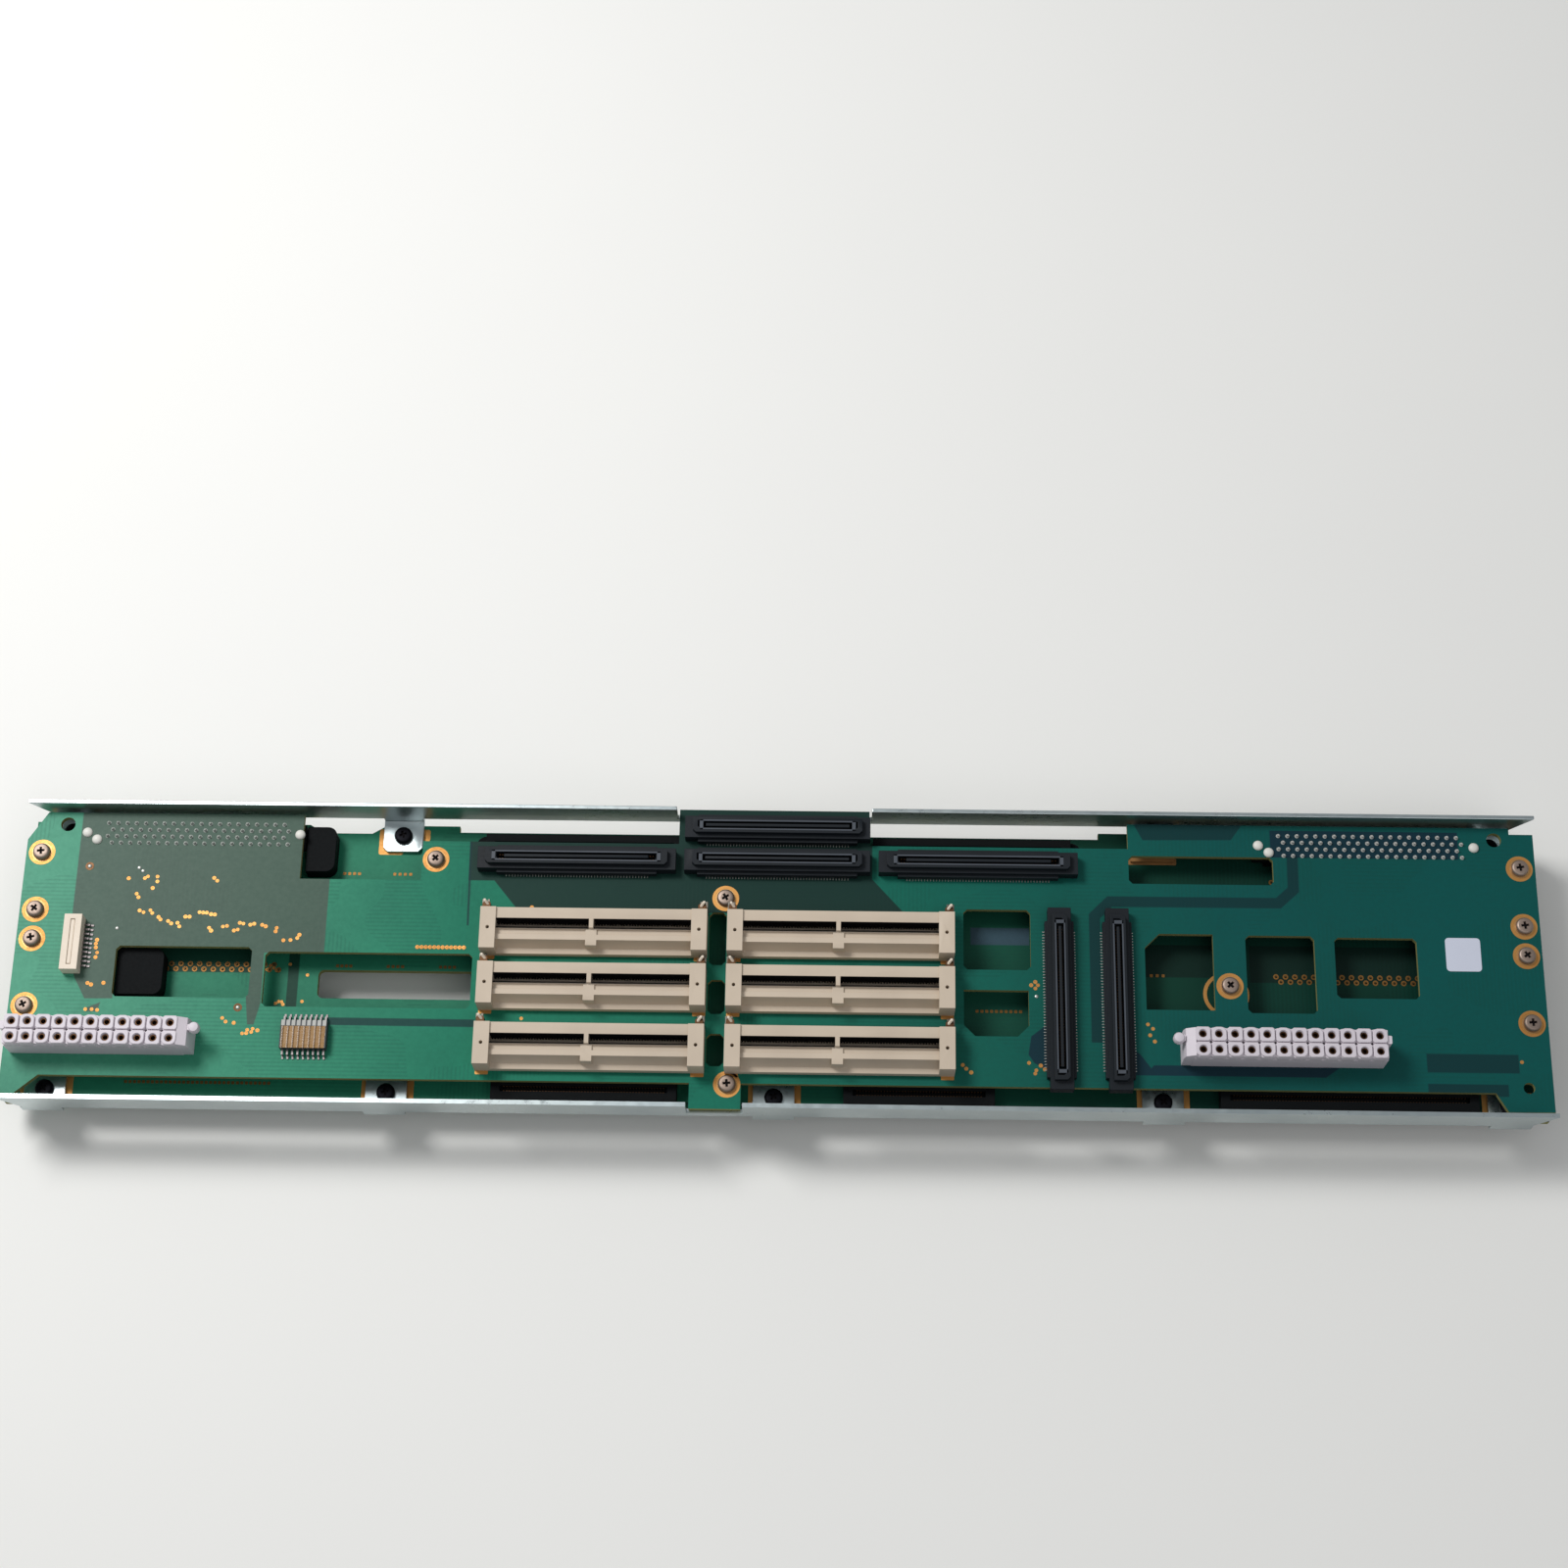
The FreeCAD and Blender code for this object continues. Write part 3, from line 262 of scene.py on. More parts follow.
moulding = {"tone": 0.35, "gain": 2, "roughSwing": 0.22, "bump": 0.35, "bumpDepth": 0.00004}
metal = {"tone": 0.35, "gain": 1.6, "roughSwing": 0.3, "stainSwing": 0.15, "bumpDepth": 0.00003}


def plasticFinish(name, body, wear, rough, grainScale=1400, mottle=60, amount=0.5, gloss=0.4):
    finish = Finish(name, IOR=1.48, Specular_IOR_Level=gloss)
    mist = finish.noise(mottle, 4)
    grain = finish.noise(grainScale, 3, 0.7)
    worn = (mist - moulding["tone"]) * (moulding["gain"] * amount)
    finish.feed("Base Color", finish.blend(worn, colour(*body), colour(*wear)))
    finish.feed("Roughness", (rough + (grain - 0.5) * moulding["roughSwing"]).clamped())
    finish.relief(grain, moulding["bump"], moulding["bumpDepth"])
    return finish.material


def metalFinish(name, body, dull, rough, stretch=(1, 1, 1), scale=1500, dents=0.25):
    finish = Finish(name)
    brushed = finish.noise(scale, 5, 0.65, stretch)
    stains = finish.noise(40, 4)
    stained = (stains - metal["tone"]) * metal["gain"]
    finish.feed("Base Color", finish.blend(stained, colour(*body), colour(*dull)))
    finish.feed("Metallic", 1.0)
    swing = (brushed - 0.5) * metal["roughSwing"] + (stains - 0.5) * metal["stainSwing"]
    finish.feed("Roughness", (rough + swing).clamped())
    finish.relief(brushed, dents, metal["bumpDepth"])
    return finish.material


# fields of copper under the mask, with some painted shadow: each outline is convex, in millimetres on the
# board
oliveFields = [
    rectangle(-190.7, -129.4, 0.2, 41.4), rectangle(-130, -121.6, 0.4, 22.0),
    [(-190.7, 2), (-177.4, 2), (-177.4, -13.1), (-184.9, -13.2), (-188.4, -7.0)],
    [(-184.9, -12.9), (-177.4, -12.9), (-180.5, -14.2), (-181.1, -16.8), (-184.4, -16.8)],
    [(-142.0, 1), (-137.7, 1), (-137.5, -13.8), (-138.9, -19.9), (-140.6, -19.9), (-141.6, -12.4)],
]
deepFields = [
    rectangle(-83.8, -26, 21.6, 33.3), [(-77.0, 21.9), (-26, 21.9), (-26, 13.0), (-69.8, 13.0)],
    rectangle(-27, 25.8, 22.9, 43.2), [(-27, 23.2), (25.8, 23.2), (35.0, 13.0), (-27, 13.0)],
]
bandFields = [[(95.8, 42.3), (128.2, 42.7), (123.3, 35.7), (99.3, 35.4)],
              rectangle(172.4, 196.6, -29.0, -23.9), rectangle(172.3, 193.4, -35.4, -32.1)]
bandFields += strip([(-119.7, -18.7), (-80.5, -18.8)], 2.1) + strip([(-83.7, 33.3), (-83.3, 8.8)], 0.55)
bandFields += strip([(85.7, -21.4), (85.7, 13.4), (89.9, 17.6), (135.4, 17.7), (139.6, 21.6), (139.7, 31.1)],
                    3.0)
navyAndShadowFields = [
    rectangle(133.9, 184.8, 30.8, 38.6),
    [(73.3, -16.5), (68.2, -20.5), (67.4, -25.5), (68.9, -27.8), (73.3, -30.3)],
    # the last two outlines lie below the right power connector: partly a dark plane, partly its painted
    # shadow
    [(95.1, -22.5), (97.0, -25.1), (101.4, -28.2), (101.4, -30.8), (95.1, -30.8)],
    [(100.5, -28.0), (149.8, -27.8), (145.7, -30.8), (98, -30.8)],
]
rearMask = maskFinish("rear mask", board["pale"], board["mask"], board["far"],
                      [(board["olive"], oliveFields, 0.9), (board["deep"], deepFields, 0.92),
                       (board["band"], bandFields, 0.85), (board["navyAndShadow"], navyAndShadowFields, 0.88)])
# painted shadows cast by the rear board's edges onto the drive board, inside the windows and along its near
# side
paintedShadowFields = [
    rectangle(-132.3, -129.4, -14, 6), rectangle(98, 118, -1.2, 8), rectangle(128, 174, -2.4, 8),
    rectangle(-172.2, -141, -3.0, 4), rectangle(-205, 205, -41, -37.6),
]
greyFields = [rectangle(52.7, 68.6, 7.4, 12.3)]
driveMask = maskFinish("drive mask", driveTone["mask"], driveTone["mask"], driveTone["far"],
                       [(driveTone["dark"], paintedShadowFields, 0.8), (driveTone["grey"], greyFields, 0.9)],
                       driveTone["sheen"])
zinc = metalFinish("zinc", (198, 208, 208), (164, 176, 180), 0.32, (1, 1, 6), 500, 0.06)
nickel = metalFinish("nickel", (168, 150, 138), (112, 98, 88), 0.54)
blackOxide = metalFinish("black oxide", (30, 30, 34), (12, 12, 16), 0.55)
spacerSteel = metalFinish("spacer steel", (168, 166, 160), (120, 118, 112), 0.35)
sprungSteel = metalFinish("sprung steel", (132, 126, 116), (64, 58, 52), 0.42)
gold = metalFinish("gold flash", (212, 158, 92), (162, 108, 56), 0.56)
paleGold = metalFinish("pale gold", (206, 166, 112), (160, 118, 72), 0.5)
dimGold = metalFinish("dim gold", (150, 110, 62), (104, 70, 38), 0.55)
# a darker tin that paints the shade on the drive board's pin tails under the rear board
shadowTin = metalFinish("shaded tin", (112, 98, 74), (76, 62, 44), 0.5)
bronze = metalFinish("contact bronze", (104, 76, 54), (60, 44, 32), 0.5)
tin = metalFinish("tin solder", (190, 190, 184), (136, 136, 132), 0.42, (1, 1, 1), 2400)
dullTin = metalFinish("dull lead tin", (146, 138, 138), (100, 94, 94), 0.5)
tarnished = plasticFinish("tarnished solder", (158, 162, 156), (118, 124, 116), 0.55, 2400, 300,
                          0.9)
paleSolder = plasticFinish("pale solder", (222, 220, 212), (190, 188, 180), 0.45, 2400, 120)
dullSolder = plasticFinish("dull solder", (178, 178, 172), (140, 140, 136), 0.5, 2400, 200)
beige = plasticFinish("beige moulding", (200, 184, 164), (174, 158, 140), 0.55)
white = plasticFinish("white moulding", (212, 204, 210), (192, 184, 194), 0.5)
black = plasticFinish("black moulding", (20, 26, 32), (12, 15, 19), 0.55, 1400, 60, 0.5, 0.25)
matt = plasticFinish("matt black moulding", (9, 12, 14), (5, 7, 8), 0.7, 1400, 60, 0.5, 0.12)
cream = plasticFinish("cream moulding", (226, 212, 194), (204, 188, 168), 0.55)
switchBlack = plasticFinish("switch moulding", (58, 62, 66), (40, 42, 46), 0.5)
paper = plasticFinish("label paper", (204, 208, 222), (190, 194, 208), 0.6, 2600)
brownGold = plasticFinish("worn gold", (150, 108, 62), (104, 70, 42), 0.5, 1600, 200)
rim = plasticFinish("lip moulding", (70, 76, 84), (48, 52, 60), 0.5)
# near-black that paints the shade deep in the card slots and inside the screw recesses
recessShade = plasticFinish("painted recess shade", (16, 12, 14), (8, 6, 8), 0.75, 1400, 60, 0.5, 0.1)


tape = {"light": colour(160, 118, 56), "brown": colour(132, 92, 40), "dark": colour(88, 60, 26),
        "rib": 0.72, "ribStrength": 0.75, "cover": 0.84, "rough": 0.24}


def tapeFinish():
    finish = Finish("amber tape", IOR=1.46, Roughness=tape["rough"])
    x, y, z = finish.axes()
    ripple = finish.noise(500, 3, 0.5, (1, 4, 1))
    tone = finish.blend((ripple - 0.3) * 1.2, tape["light"], tape["brown"])
    # the leads beneath show through as dark ribs
    rib = tape["rib"] * mm
    ribs = ((x.folded(rib) / rib - 0.55) * 4).clamped()
    finish.feed("Base Color", finish.blend(ribs * tape["ribStrength"], tone, tape["dark"]))
    finish.feed("Alpha", (tape["cover"] + (ripple - 0.5) * 0.2).clamped())
    finish.relief(ripple * 0.4 + ribs * 0.6, 0.5, 0.0001)
    return finish.material


amber = tapeFinish()
print("finishes made:", len(bpy.data.materials))


# --- mesh helpers, all in millimetres until a piece is finished

edges = {"smoothAngle": 35, "bevelAngle": 40}


def newForm():
    return bmesh.new()


def addBlock(form, low, high):
    corners = [form.verts.new((x, y, z))
               for z in (low[2], high[2]) for y in (low[1], high[1]) for x in (low[0], high[0])]
    for loop in ((0, 2, 3, 1), (4, 5, 7, 6), (0, 1, 5, 4), (2, 6, 7, 3), (0, 4, 6, 2), (1, 3, 7, 5)):
        form.faces.new([corners[index] for index in loop])


def addRings(form, rings, closeLow=True, closeHigh=True):
    # skins matching loops of points into one wall
    loops = [[form.verts.new(point) for point in ring] for ring in rings]
    count = len(loops[0])
    for low, high in zip(loops, loops[1:]):
        for index in range(count):
            after = (index + 1) % count
            form.faces.new((low[index], low[after], high[after], high[index]))
    if closeLow:
        form.faces.new(list(reversed(loops[0])))
    if closeHigh:
        form.faces.new(loops[-1])


def circle(x, y, z, radius, count=24):
    angles = [2 * math.pi * index / count for index in range(count)]
    return [(x + radius * math.cos(angle), y + radius * math.sin(angle), z) for angle in angles]


def addLathe(form, x, y, profile, count=24):
    # a turned shape, given as (radius, height) from its foot to its top
    addRings(form, [circle(x, y, z, radius, count) for radius, z in profile])


def addWasher(form, x, y, inner, outer, low, high, count=32):
    addRings(form, [circle(x, y, low, inner, count), circle(x, y, low, outer, count),
                    circle(x, y, high, outer, count), circle(x, y, high, inner, count),
                    circle(x, y, low, inner, count)], False, False)
    bmesh.ops.remove_doubles(form, verts=form.verts, dist=1e-4)


def addPlate(form, box, corner, low, high, steps=5):
    # a flat plate with rounded corners, whose box is its left, right, near and far sides
    left, right, near, far = box
    outline = []
    for x, y, start in ((right - corner, far - corner, 0), (left + corner, far - corner, 90),
                        (left + corner, near + corner, 180), (right - corner, near + corner, 270)):
        for step in range(steps + 1):
            angle = math.radians(start + 90 * step / steps)
            outline.append((x + corner * math.cos(angle), y + corner * math.sin(angle)))
    addRings(form, [[(x, y, z) for x, y in outline] for z in (low, high)])


def plainObject(name, form):
    mesh = bpy.data.meshes.new(name)
    form.to_mesh(mesh)
    form.free()
    item = bpy.data.objects.new(name, mesh)
    bpy.context.scene.collection.objects.link(item)
    return item


def finishPiece(name, form, material, stands=(), bevel=0.0, segments=2, scale=mm):
    # stands names the CAD nodes that the piece replaces, and bevel is in millimetres
    if scale != 1:
        bmesh.ops.scale(form, vec=(scale,) * 3, verts=form.verts)
    bmesh.ops.recalc_face_normals(form, faces=form.faces)
    piece = plainObject(name, form)
    for face in piece.data.polygons:
        face.use_smooth = True
    piece.data.set_sharp_from_angle(angle=math.radians(edges["smoothAngle"]))
    piece.data.materials.append(material)
    if bevel:
        edge = piece.modifiers.new("edge", "BEVEL")
        edge.width = bevel * mm
        edge.segments = segments
        edge.limit_method = "ANGLE"
        edge.angle_limit = math.radians(edges["bevelAngle"])
        edge.use_clamp_overlap = True
        edge.harden_normals = True
    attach(piece, "root")
    if stands:
        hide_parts(*stands)


def nodeForm(nodeName):
    form = newForm()
    form.from_mesh(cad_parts[nodeName].data)
    bmesh.ops.remove_doubles(form, verts=form.verts, dist=1e-6)
    return form


def cadForm(nodeName):
    # a node's solids as clean faces, without the triangles of its mesh
    form = nodeForm(nodeName)
    bmesh.ops.dissolve_limit(form, angle_limit=math.radians(1), verts=form.verts, edges=form.edges)
    return form


def islandBoxes(nodeName):
    # the box of each separate solid of a node, in millimetres
    form = nodeForm(nodeName)
    left = set(form.verts)
    boxes = []
    while left:
        heap = [left.pop()]
        group = []
        while heap:
            vert = heap.pop()
            group.append(vert.co / mm)
            for link in vert.link_edges:
                other = link.other_vert(vert)
                if other in left:
                    left.remove(other)
                    heap.append(other)
        boxes.append((Vector(min(p[axis] for p in group) for axis in range(3)),
                      Vector(max(p[axis] for p in group) for axis in range(3))))
    form.free()
    return sorted(boxes, key=lambda box: (round(box[0].x, 2), round(box[0].y, 2)))


def nodeBox(nodeName):
    low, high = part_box(nodeName)
    return low / mm, high / mm


def dress(nodeName, material):
    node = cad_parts[nodeName]
    node.data.materials.clear()
    node.data.materials.append(material)


rearTop = nodeBox("rear_board")[1].z
driveTop = nodeBox("drive_board")[1].z

for nodeName, material in (("rear_board", rearMask), ("drive_board", driveMask), ("standoffs", spacerSteel)):
    dress(nodeName, material)

# mouldings and metalwork keep their CAD form and gain softened edges
softEdges = {
    "rail": 0.3, "socket": 0.16, "clip": 0.08, "cable": 0.14, "low": 0.14, "guide": 0.2, "drive": 0.15,
    "link": 0.15, "flex": 0.12, "switch": 0.12,
}
cardNames = ["card_socket_%d" % number for number in range(1, 7)]
cableNames = ["cable_connector_%d" % number for number in range(1, 7)]
lowNames = ["low_connector_%d" % number for number in range(1, 6)]
driveNames = ["drive_connector_%d" % number for number in range(1, 13)]
linkNames = [kind + side for kind in ("link_plug_", "link_socket_") for side in ("left", "right")]
softened = [("top_rail", zinc, "rail"), ("bottom_rail", zinc, "rail"), ("socket_clips", sprungSteel, "clip"),
            ("guide_block_top", matt, "guide"), ("guide_block_middle", matt, "guide"),
            ("flex_connector", cream, "flex"), ("switch_block", switchBlack, "switch")]
for names, material, kind in ((cardNames, beige, "socket"), (cableNames, black, "cable"),
                              (lowNames, matt, "low"), (driveNames, black, "drive"),
                              (linkNames, matt, "link")):
    softened += [(name, material, kind) for name in names]
for nodeName, material, kind in softened:
    finishPiece(nodeName + "_form", cadForm(nodeName), material, (nodeName,),
                softEdges[kind], 2, 1)
for nodeName, material in (("flex_leads", dullTin), ("switch_leads", dullTin), ("switch_tape", amber)):
    dress(nodeName, material)
print("mouldings softened:", len(softened))


# --- screws with a crossed recess

screw = {"domeSteps": 4, "rimShare": 0.25, "crownShare": 0.28, "tipTaper": 0.8, "tipLength": 0.3,
         "crossLength": 1.15, "crossWidth": 0.36, "crossDepth": 0.8, "crossRise": 0.3,
         "ringInner": 2.1, "ringOuter": 2.72, "padInner": 2.95, "padOuter": 3.62, "padHeight": 0.05,
         "shadeRadius": 1.0, "shadeDrop": 0.5, "shadeThick": 0.25, "lap": 0.05}
boardScrew = {"radius": 2.38, "height": 1.45, "shank": 1.2, "length": 5.0}
railScrew = {"radius": 2.48, "height": 1.5, "shank": 1.35, "length": 3.1}


def crossArm(height, turn):
    # one arm of the recess, narrower at its floor
    long, wide = screw["crossLength"], screw["crossWidth"]
    low, high = height - screw["crossDepth"], height + screw["crossRise"]
    form = newForm()
    addRings(form, [[(-long * 0.7, -wide * 0.8, low), (long * 0.7, -wide * 0.8, low),
                     (long * 0.7, wide * 0.8, low), (-long * 0.7, wide * 0.8, low)],
                    [(-long, -wide, high), (long, -wide, high), (long, wide, high), (-long, wide, high)]])
    spin = Matrix.Rotation(math.radians(turn), 3, "Z")
    bmesh.ops.rotate(form, cent=(0, 0, 0), matrix=spin, verts=form.verts)
    bmesh.ops.recalc_face_normals(form, faces=form.faces)
    return plainObject("arm", form)


def screwTemplate(name, sizes):
    radius, height, shank, length = (sizes[key] for key in ("radius", "height", "shank", "length"))
    rim, crown = screw["rimShare"], screw["crownShare"]
    profile = [(shank * screw["tipTaper"], -length), (shank, -length + screw["tipLength"]), (shank, 0),
               (radius, 0), (radius, height * rim)]
    for step in range(1, screw["domeSteps"] + 1):
        angle = math.radians(90 * step / screw["domeSteps"])
        profile.append((radius * (1 - crown + crown * math.cos(angle)),
                        height * (rim + (1 - rim) * math.sin(angle))))
    form = newForm()
    addLathe(form, 0, 0, profile, 32)
    bmesh.ops.recalc_face_normals(form, faces=form.faces)
    body = plainObject(name, form)
    for turn in (0, 90):
        arm = crossArm(height, turn)
        cut = body.modifiers.new("cross", "BOOLEAN")
        cut.operation = "DIFFERENCE"
        cut.solver = "EXACT"
        cut.object = arm
        bpy.context.view_layer.update()
        evaluated = body.evaluated_get(bpy.context.evaluated_depsgraph_get())
        finished = bpy.data.meshes.new_from_object(evaluated)
        body.modifiers.clear()
        body.data = finished
        bpy.data.objects.remove(arm)
    template = body.data
    bpy.data.objects.remove(body)
    return template


def addCopies(form, template, places, turns):
    for place, turn in zip(places, turns):
        before = len(form.verts)
        form.from_mesh(template)
        form.verts.ensure_lookup_table()
        added = form.verts[before:]
        bmesh.ops.rotate(form, cent=(0, 0, 0), matrix=Matrix.Rotation(turn, 3, "Z"), verts=added)
        bmesh.ops.translate(form, vec=place, verts=added)


turning = random.Random(7)
screwPlaces = [((low.x + high.x) / 2, (low.y + high.y) / 2, rearTop + screw["padHeight"])
               for low, high in islandBoxes("board_screws")]
form = newForm()
addCopies(form, screwTemplate("board_screw", boardScrew), screwPlaces,
          [turning.uniform(0, 1.5) for place in screwPlaces])
finishPiece("board_screw_heads", form, nickel, ("board_screws",))
railPlaces = [((low.x + high.x) / 2, (low.y + high.y) / 2, high.z - railScrew["height"])
              for low, high in islandBoxes("rail_screws")]
form = newForm()
addCopies(form, screwTemplate("rail_screw", railScrew), railPlaces,
          [turning.uniform(0, 1.5) for place in railPlaces])
finishPiece("rail_screw_heads", form, blackOxide, ("rail_screws",))

# dark discs inside each screw head paint the shade in its crossed recess
form = newForm()
for places, sizes in ((screwPlaces, boardScrew), (railPlaces, railScrew)):
    for x, y, z in places:
        high, radius = z + sizes["height"] - screw["shadeDrop"], screw["shadeRadius"]
        addLathe(form, x, y, [(radius, high - screw["shadeThick"]), (radius, high)], 16)
finishPiece("screw_recess_painted_shade", form, recessShade)
# each board screw stands in a plated pad, with a pale ring near the head
form = newForm()
rims = newForm()
padTop = rearTop + screw["padHeight"]
for x, y, z in screwPlaces:
    addWasher(rims, x, y, screw["ringInner"], screw["ringOuter"], rearTop, padTop)
    addWasher(form, x, y, screw["padInner"], screw["padOuter"], rearTop, padTop)
    addWasher(form, x, y, screw["ringOuter"] - screw["lap"], screw["padInner"] + screw["lap"], rearTop,
              rearTop + 0.02)
finishPiece("screw_pads", form, gold)
finishPiece("screw_rims", rims, paleGold)
print("screws placed:", len(screwPlaces) + len(railPlaces))


# --- white power connectors

power = {"cell": 2.12, "outer": 1.86, "silo": 1.95, "corner": 0.5, "round": 1.4, "ease": 0.14,
         "siloGap": 0.16, "bore": 1.0, "lip": 1.2, "groove": 0.9, "floor": 3.0, "end": 2.4,
         "baseCorner": 0.4, "steps": 24}
wedge = {"reach": 2.4, "drop": 3.4, "shoulder": 1.5, "topDrop": 0.25, "bite": 0.3, "slope": 0.5,
         "side": 0.15}
ear = {"gap": 1.35, "radius": 1.5, "shift": 1.1, "stemHalf": 0.8, "stemDrop": 0.9, "foot": 6.8}
nib = {"reach": 1.0, "half": 1.1, "drop": 0.6, "corner": 0.3}
tube = {"radius": 0.92, "bore": 0.58, "drop": 0.7, "ease": 0.1}


def cellOutline(x, y, side, halfX, inner, outer, corners):
    # points at equal steps of angle round one cell, whose outer side faces along Y
    outline = []
    for index in range(power["steps"]):
        angle = 2 * math.pi * (index + 0.5) / power["steps"]
        dx, dy = math.cos(angle), math.sin(angle)
        halfY, radius = (outer, corners[0]) if dy > 0 else (inner, corners[1])
        reach = min(halfX / abs(dx), halfY / abs(dy))
        cx, cy = halfX - radius, halfY - radius
        if abs(reach * dx) > cx and abs(reach * dy) > cy:
            along = abs(dx) * cx + abs(dy) * cy
            reach = along + math.sqrt(max(along * along - cx * cx - cy * cy + radius * radius, 0.0))
        outline.append((x + reach * dx, y + side * reach * dy))
    return outline


def boreOutline(x, y, side, radius):
    angles = [2 * math.pi * (index + 0.5) / power["steps"] for index in range(power["steps"])]
    return [(x + radius * math.cos(angle), y + side * radius * math.sin(angle)) for angle in angles]


def addWedge(form, face, way, low, top, middleY, half):
    # a wedge closes one end, with a stem and a round ear beyond it
    start, stop = face - way * wedge["bite"], face + way * (wedge["reach"] + wedge["bite"])
    profile = [(start, low), (stop, low), (stop, top - wedge["drop"]),
               (stop - way * wedge["slope"], top - wedge["shoulder"]), (start, top - wedge["topDrop"])]
    across = half - wedge["side"]
    addRings(form, [[(x, middleY + side * across, z) for x, z in profile] for side in (-1, 1)])
    earX, earY = stop + way * ear["gap"], middleY + ear["shift"]
    left, right = sorted((stop - way * wedge["bite"], earX))
    foot, radius = low + ear["foot"], ear["radius"]
    addPlate(form, (left, right, earY - ear["stemHalf"], earY + ear["stemHalf"]), 0.2, foot,
             top - ear["stemDrop"])
    addLathe(form, earX, earY, [(radius * 0.6, foot), (radius * 0.9, foot + 0.3), (radius, foot + 0.9),
                                (radius, top - 1.1), (radius * 0.8, top - 0.45), (radius * 0.4, top - 0.25)])


def addSilo(form, x, y, side, fullRound, inner, top, floor):
    corners = (power["round"] if fullRound else power["corner"], power["corner"])
    groove, outer, gap, ease = top - power["groove"], power["outer"], power["siloGap"], power["ease"]
    square = cellOutline(x, y, side, power["cell"], inner, outer, (0.05, 0.05))
    silo = cellOutline(x, y, side, power["silo"], inner - gap, outer, corners)
    eased = cellOutline(x, y, side, power["silo"] - ease, inner - gap - ease, outer - ease, corners)
    lip, bore = (boreOutline(x, y, side, power[key]) for key in ("lip", "bore"))
    rings = [(square, floor - 0.2), (square, groove), (silo, groove + 0.02), (silo, top - gap), (eased, top),
             (lip, top), (bore, top - 0.3), (bore, floor + 0.05)]
    rings = [[(a, b, z) for a, b in outline] for outline, z in rings]
    if side < 0:
        rings = [list(reversed(ring)) for ring in rings]
    addRings(form, rings, False, True)


def powerConnector(name, way):
    # way is +1 where the wedge and its ear stand at the higher end, and -1 where they stand at the lower
    low, high = nodeBox("power_connector_" + name)
    centres = sorted(((a.x + b.x) / 2, (a.y + b.y) / 2) for a, b in islandBoxes("power_contacts_" + name))
    columns = sorted({round(x, 2) for x, y in centres})
    middleY = sum(y for x, y in centres) / len(centres)
    half = abs(centres[0][1] - middleY) + power["outer"]
    top, floor = high.z, high.z - power["floor"]
    inner = half - power["outer"] + 0.02
    form = newForm()
    addPlate(form, (columns[0] - power["end"], columns[-1] + power["end"], middleY - half, middleY + half),
             power["baseCorner"], low.z, floor)
    wedgeFace, nibFace = columns[0] - power["cell"], columns[-1] + power["cell"]
    if way > 0:
        wedgeFace, nibFace = nibFace, wedgeFace
    addWedge(form, wedgeFace, way, low.z, top, middleY, half)
    left, right = sorted((nibFace + way * nib["corner"], nibFace - way * nib["reach"]))
    nibY = middleY + ear["shift"]
    addPlate(form, (left, right, nibY - nib["half"], nibY + nib["half"]), nib["corner"], low.z,
             top - nib["drop"])
    for x, y in centres:
        side = 1 if y > middleY else -1
        fullRound = (columns.index(round(x, 2)) + (side > 0)) % 2 == 0
        addSilo(form, x, y, side, fullRound, inner, top, floor)
    finishPiece("power_housing_" + name, form, white, ("power_connector_" + name,), 0.1, 2)
    # a rolled tube stands in each bore
    form = newForm()
    mouth, ease = top - tube["drop"], tube["ease"]
    profile = [(tube["radius"], floor - 0.1), (tube["radius"], mouth - ease), (tube["radius"] - ease, mouth),
               (tube["bore"] + ease, mouth), (tube["bore"], mouth - 0.15), (tube["bore"], floor + 0.2)]
    for x, y in centres:
        addLathe(form, x, y, profile, 18)
    finishPiece("power_terminals_" + name, form, bronze, ("power_contacts_" + name,))


powerConnector("right", -1)
powerConnector("left", 1)
print("power connectors made")


# --- rows of contacts inside the long connectors

blades = {
    "cable": {"pitch": 0.8, "offset": 0.52, "depth": 3.0, "size": (0.34, 0.16), "inset": 6.0},
    "drive": {"pitch": 1.27, "offset": 0.75, "depth": 4.6, "size": (0.6, 0.16), "inset": 7.0},
    "low": {"pitch": 0.8, "offset": 0.62, "depth": 1.6, "size": (0.34, 0.16), "inset": 3.4},
}
cardSlot = {"pitch": 0.75, "inset": 4.6, "back": 3.0, "wide": 2.5, "seat": 0.6, "key": -0.6, "keyHalf": 0.75,
            "keyClear": 1.0, "bladeLow": 4.4, "bladeTop": 2.6, "bladeHalf": 0.17, "bladeThick": 0.2,
            "end": 0.9, "shadeSheet": 0.1, "shadeSheetTop": 0.12}
slotLip = {"overall": 50.4, "reach": 21.2, "inner": 1.0, "outer": 1.42, "bar": 1.0, "corner": 0.12,
           "sink": 0.25, "rise": 0.12, "tails": 49, "tailOut": 0.2, "tailWide": 0.32, "tailLong": 0.62,
           "tailHigh": 0.22}
clipFoot = {"inset": 0.3, "wide": 2.2, "deep": 1.9, "high": 5.6, "corner": 0.6, "finger": 0.26, "back": 0.5,
            "lean": 1.1}


def addRow(form, low, high, count, pitch, offset, size, foot, top):
    # blocks along both sides of a connector, whichever way it lies
    middle = (low + high) / 2
    alongX = high.x - low.x > high.y - low.y
    wide, thick = size if alongX else reversed(size)
    for index in range(count):
        run = (index - (count - 1) / 2) * pitch
        for across in (-offset, offset):
            x, y = (middle.x + run, middle.y + across) if alongX else (middle.x + across, middle.y + run)
            addBlock(form, (x - wide / 2, y - thick / 2, foot), (x + wide / 2, y + thick / 2, top))


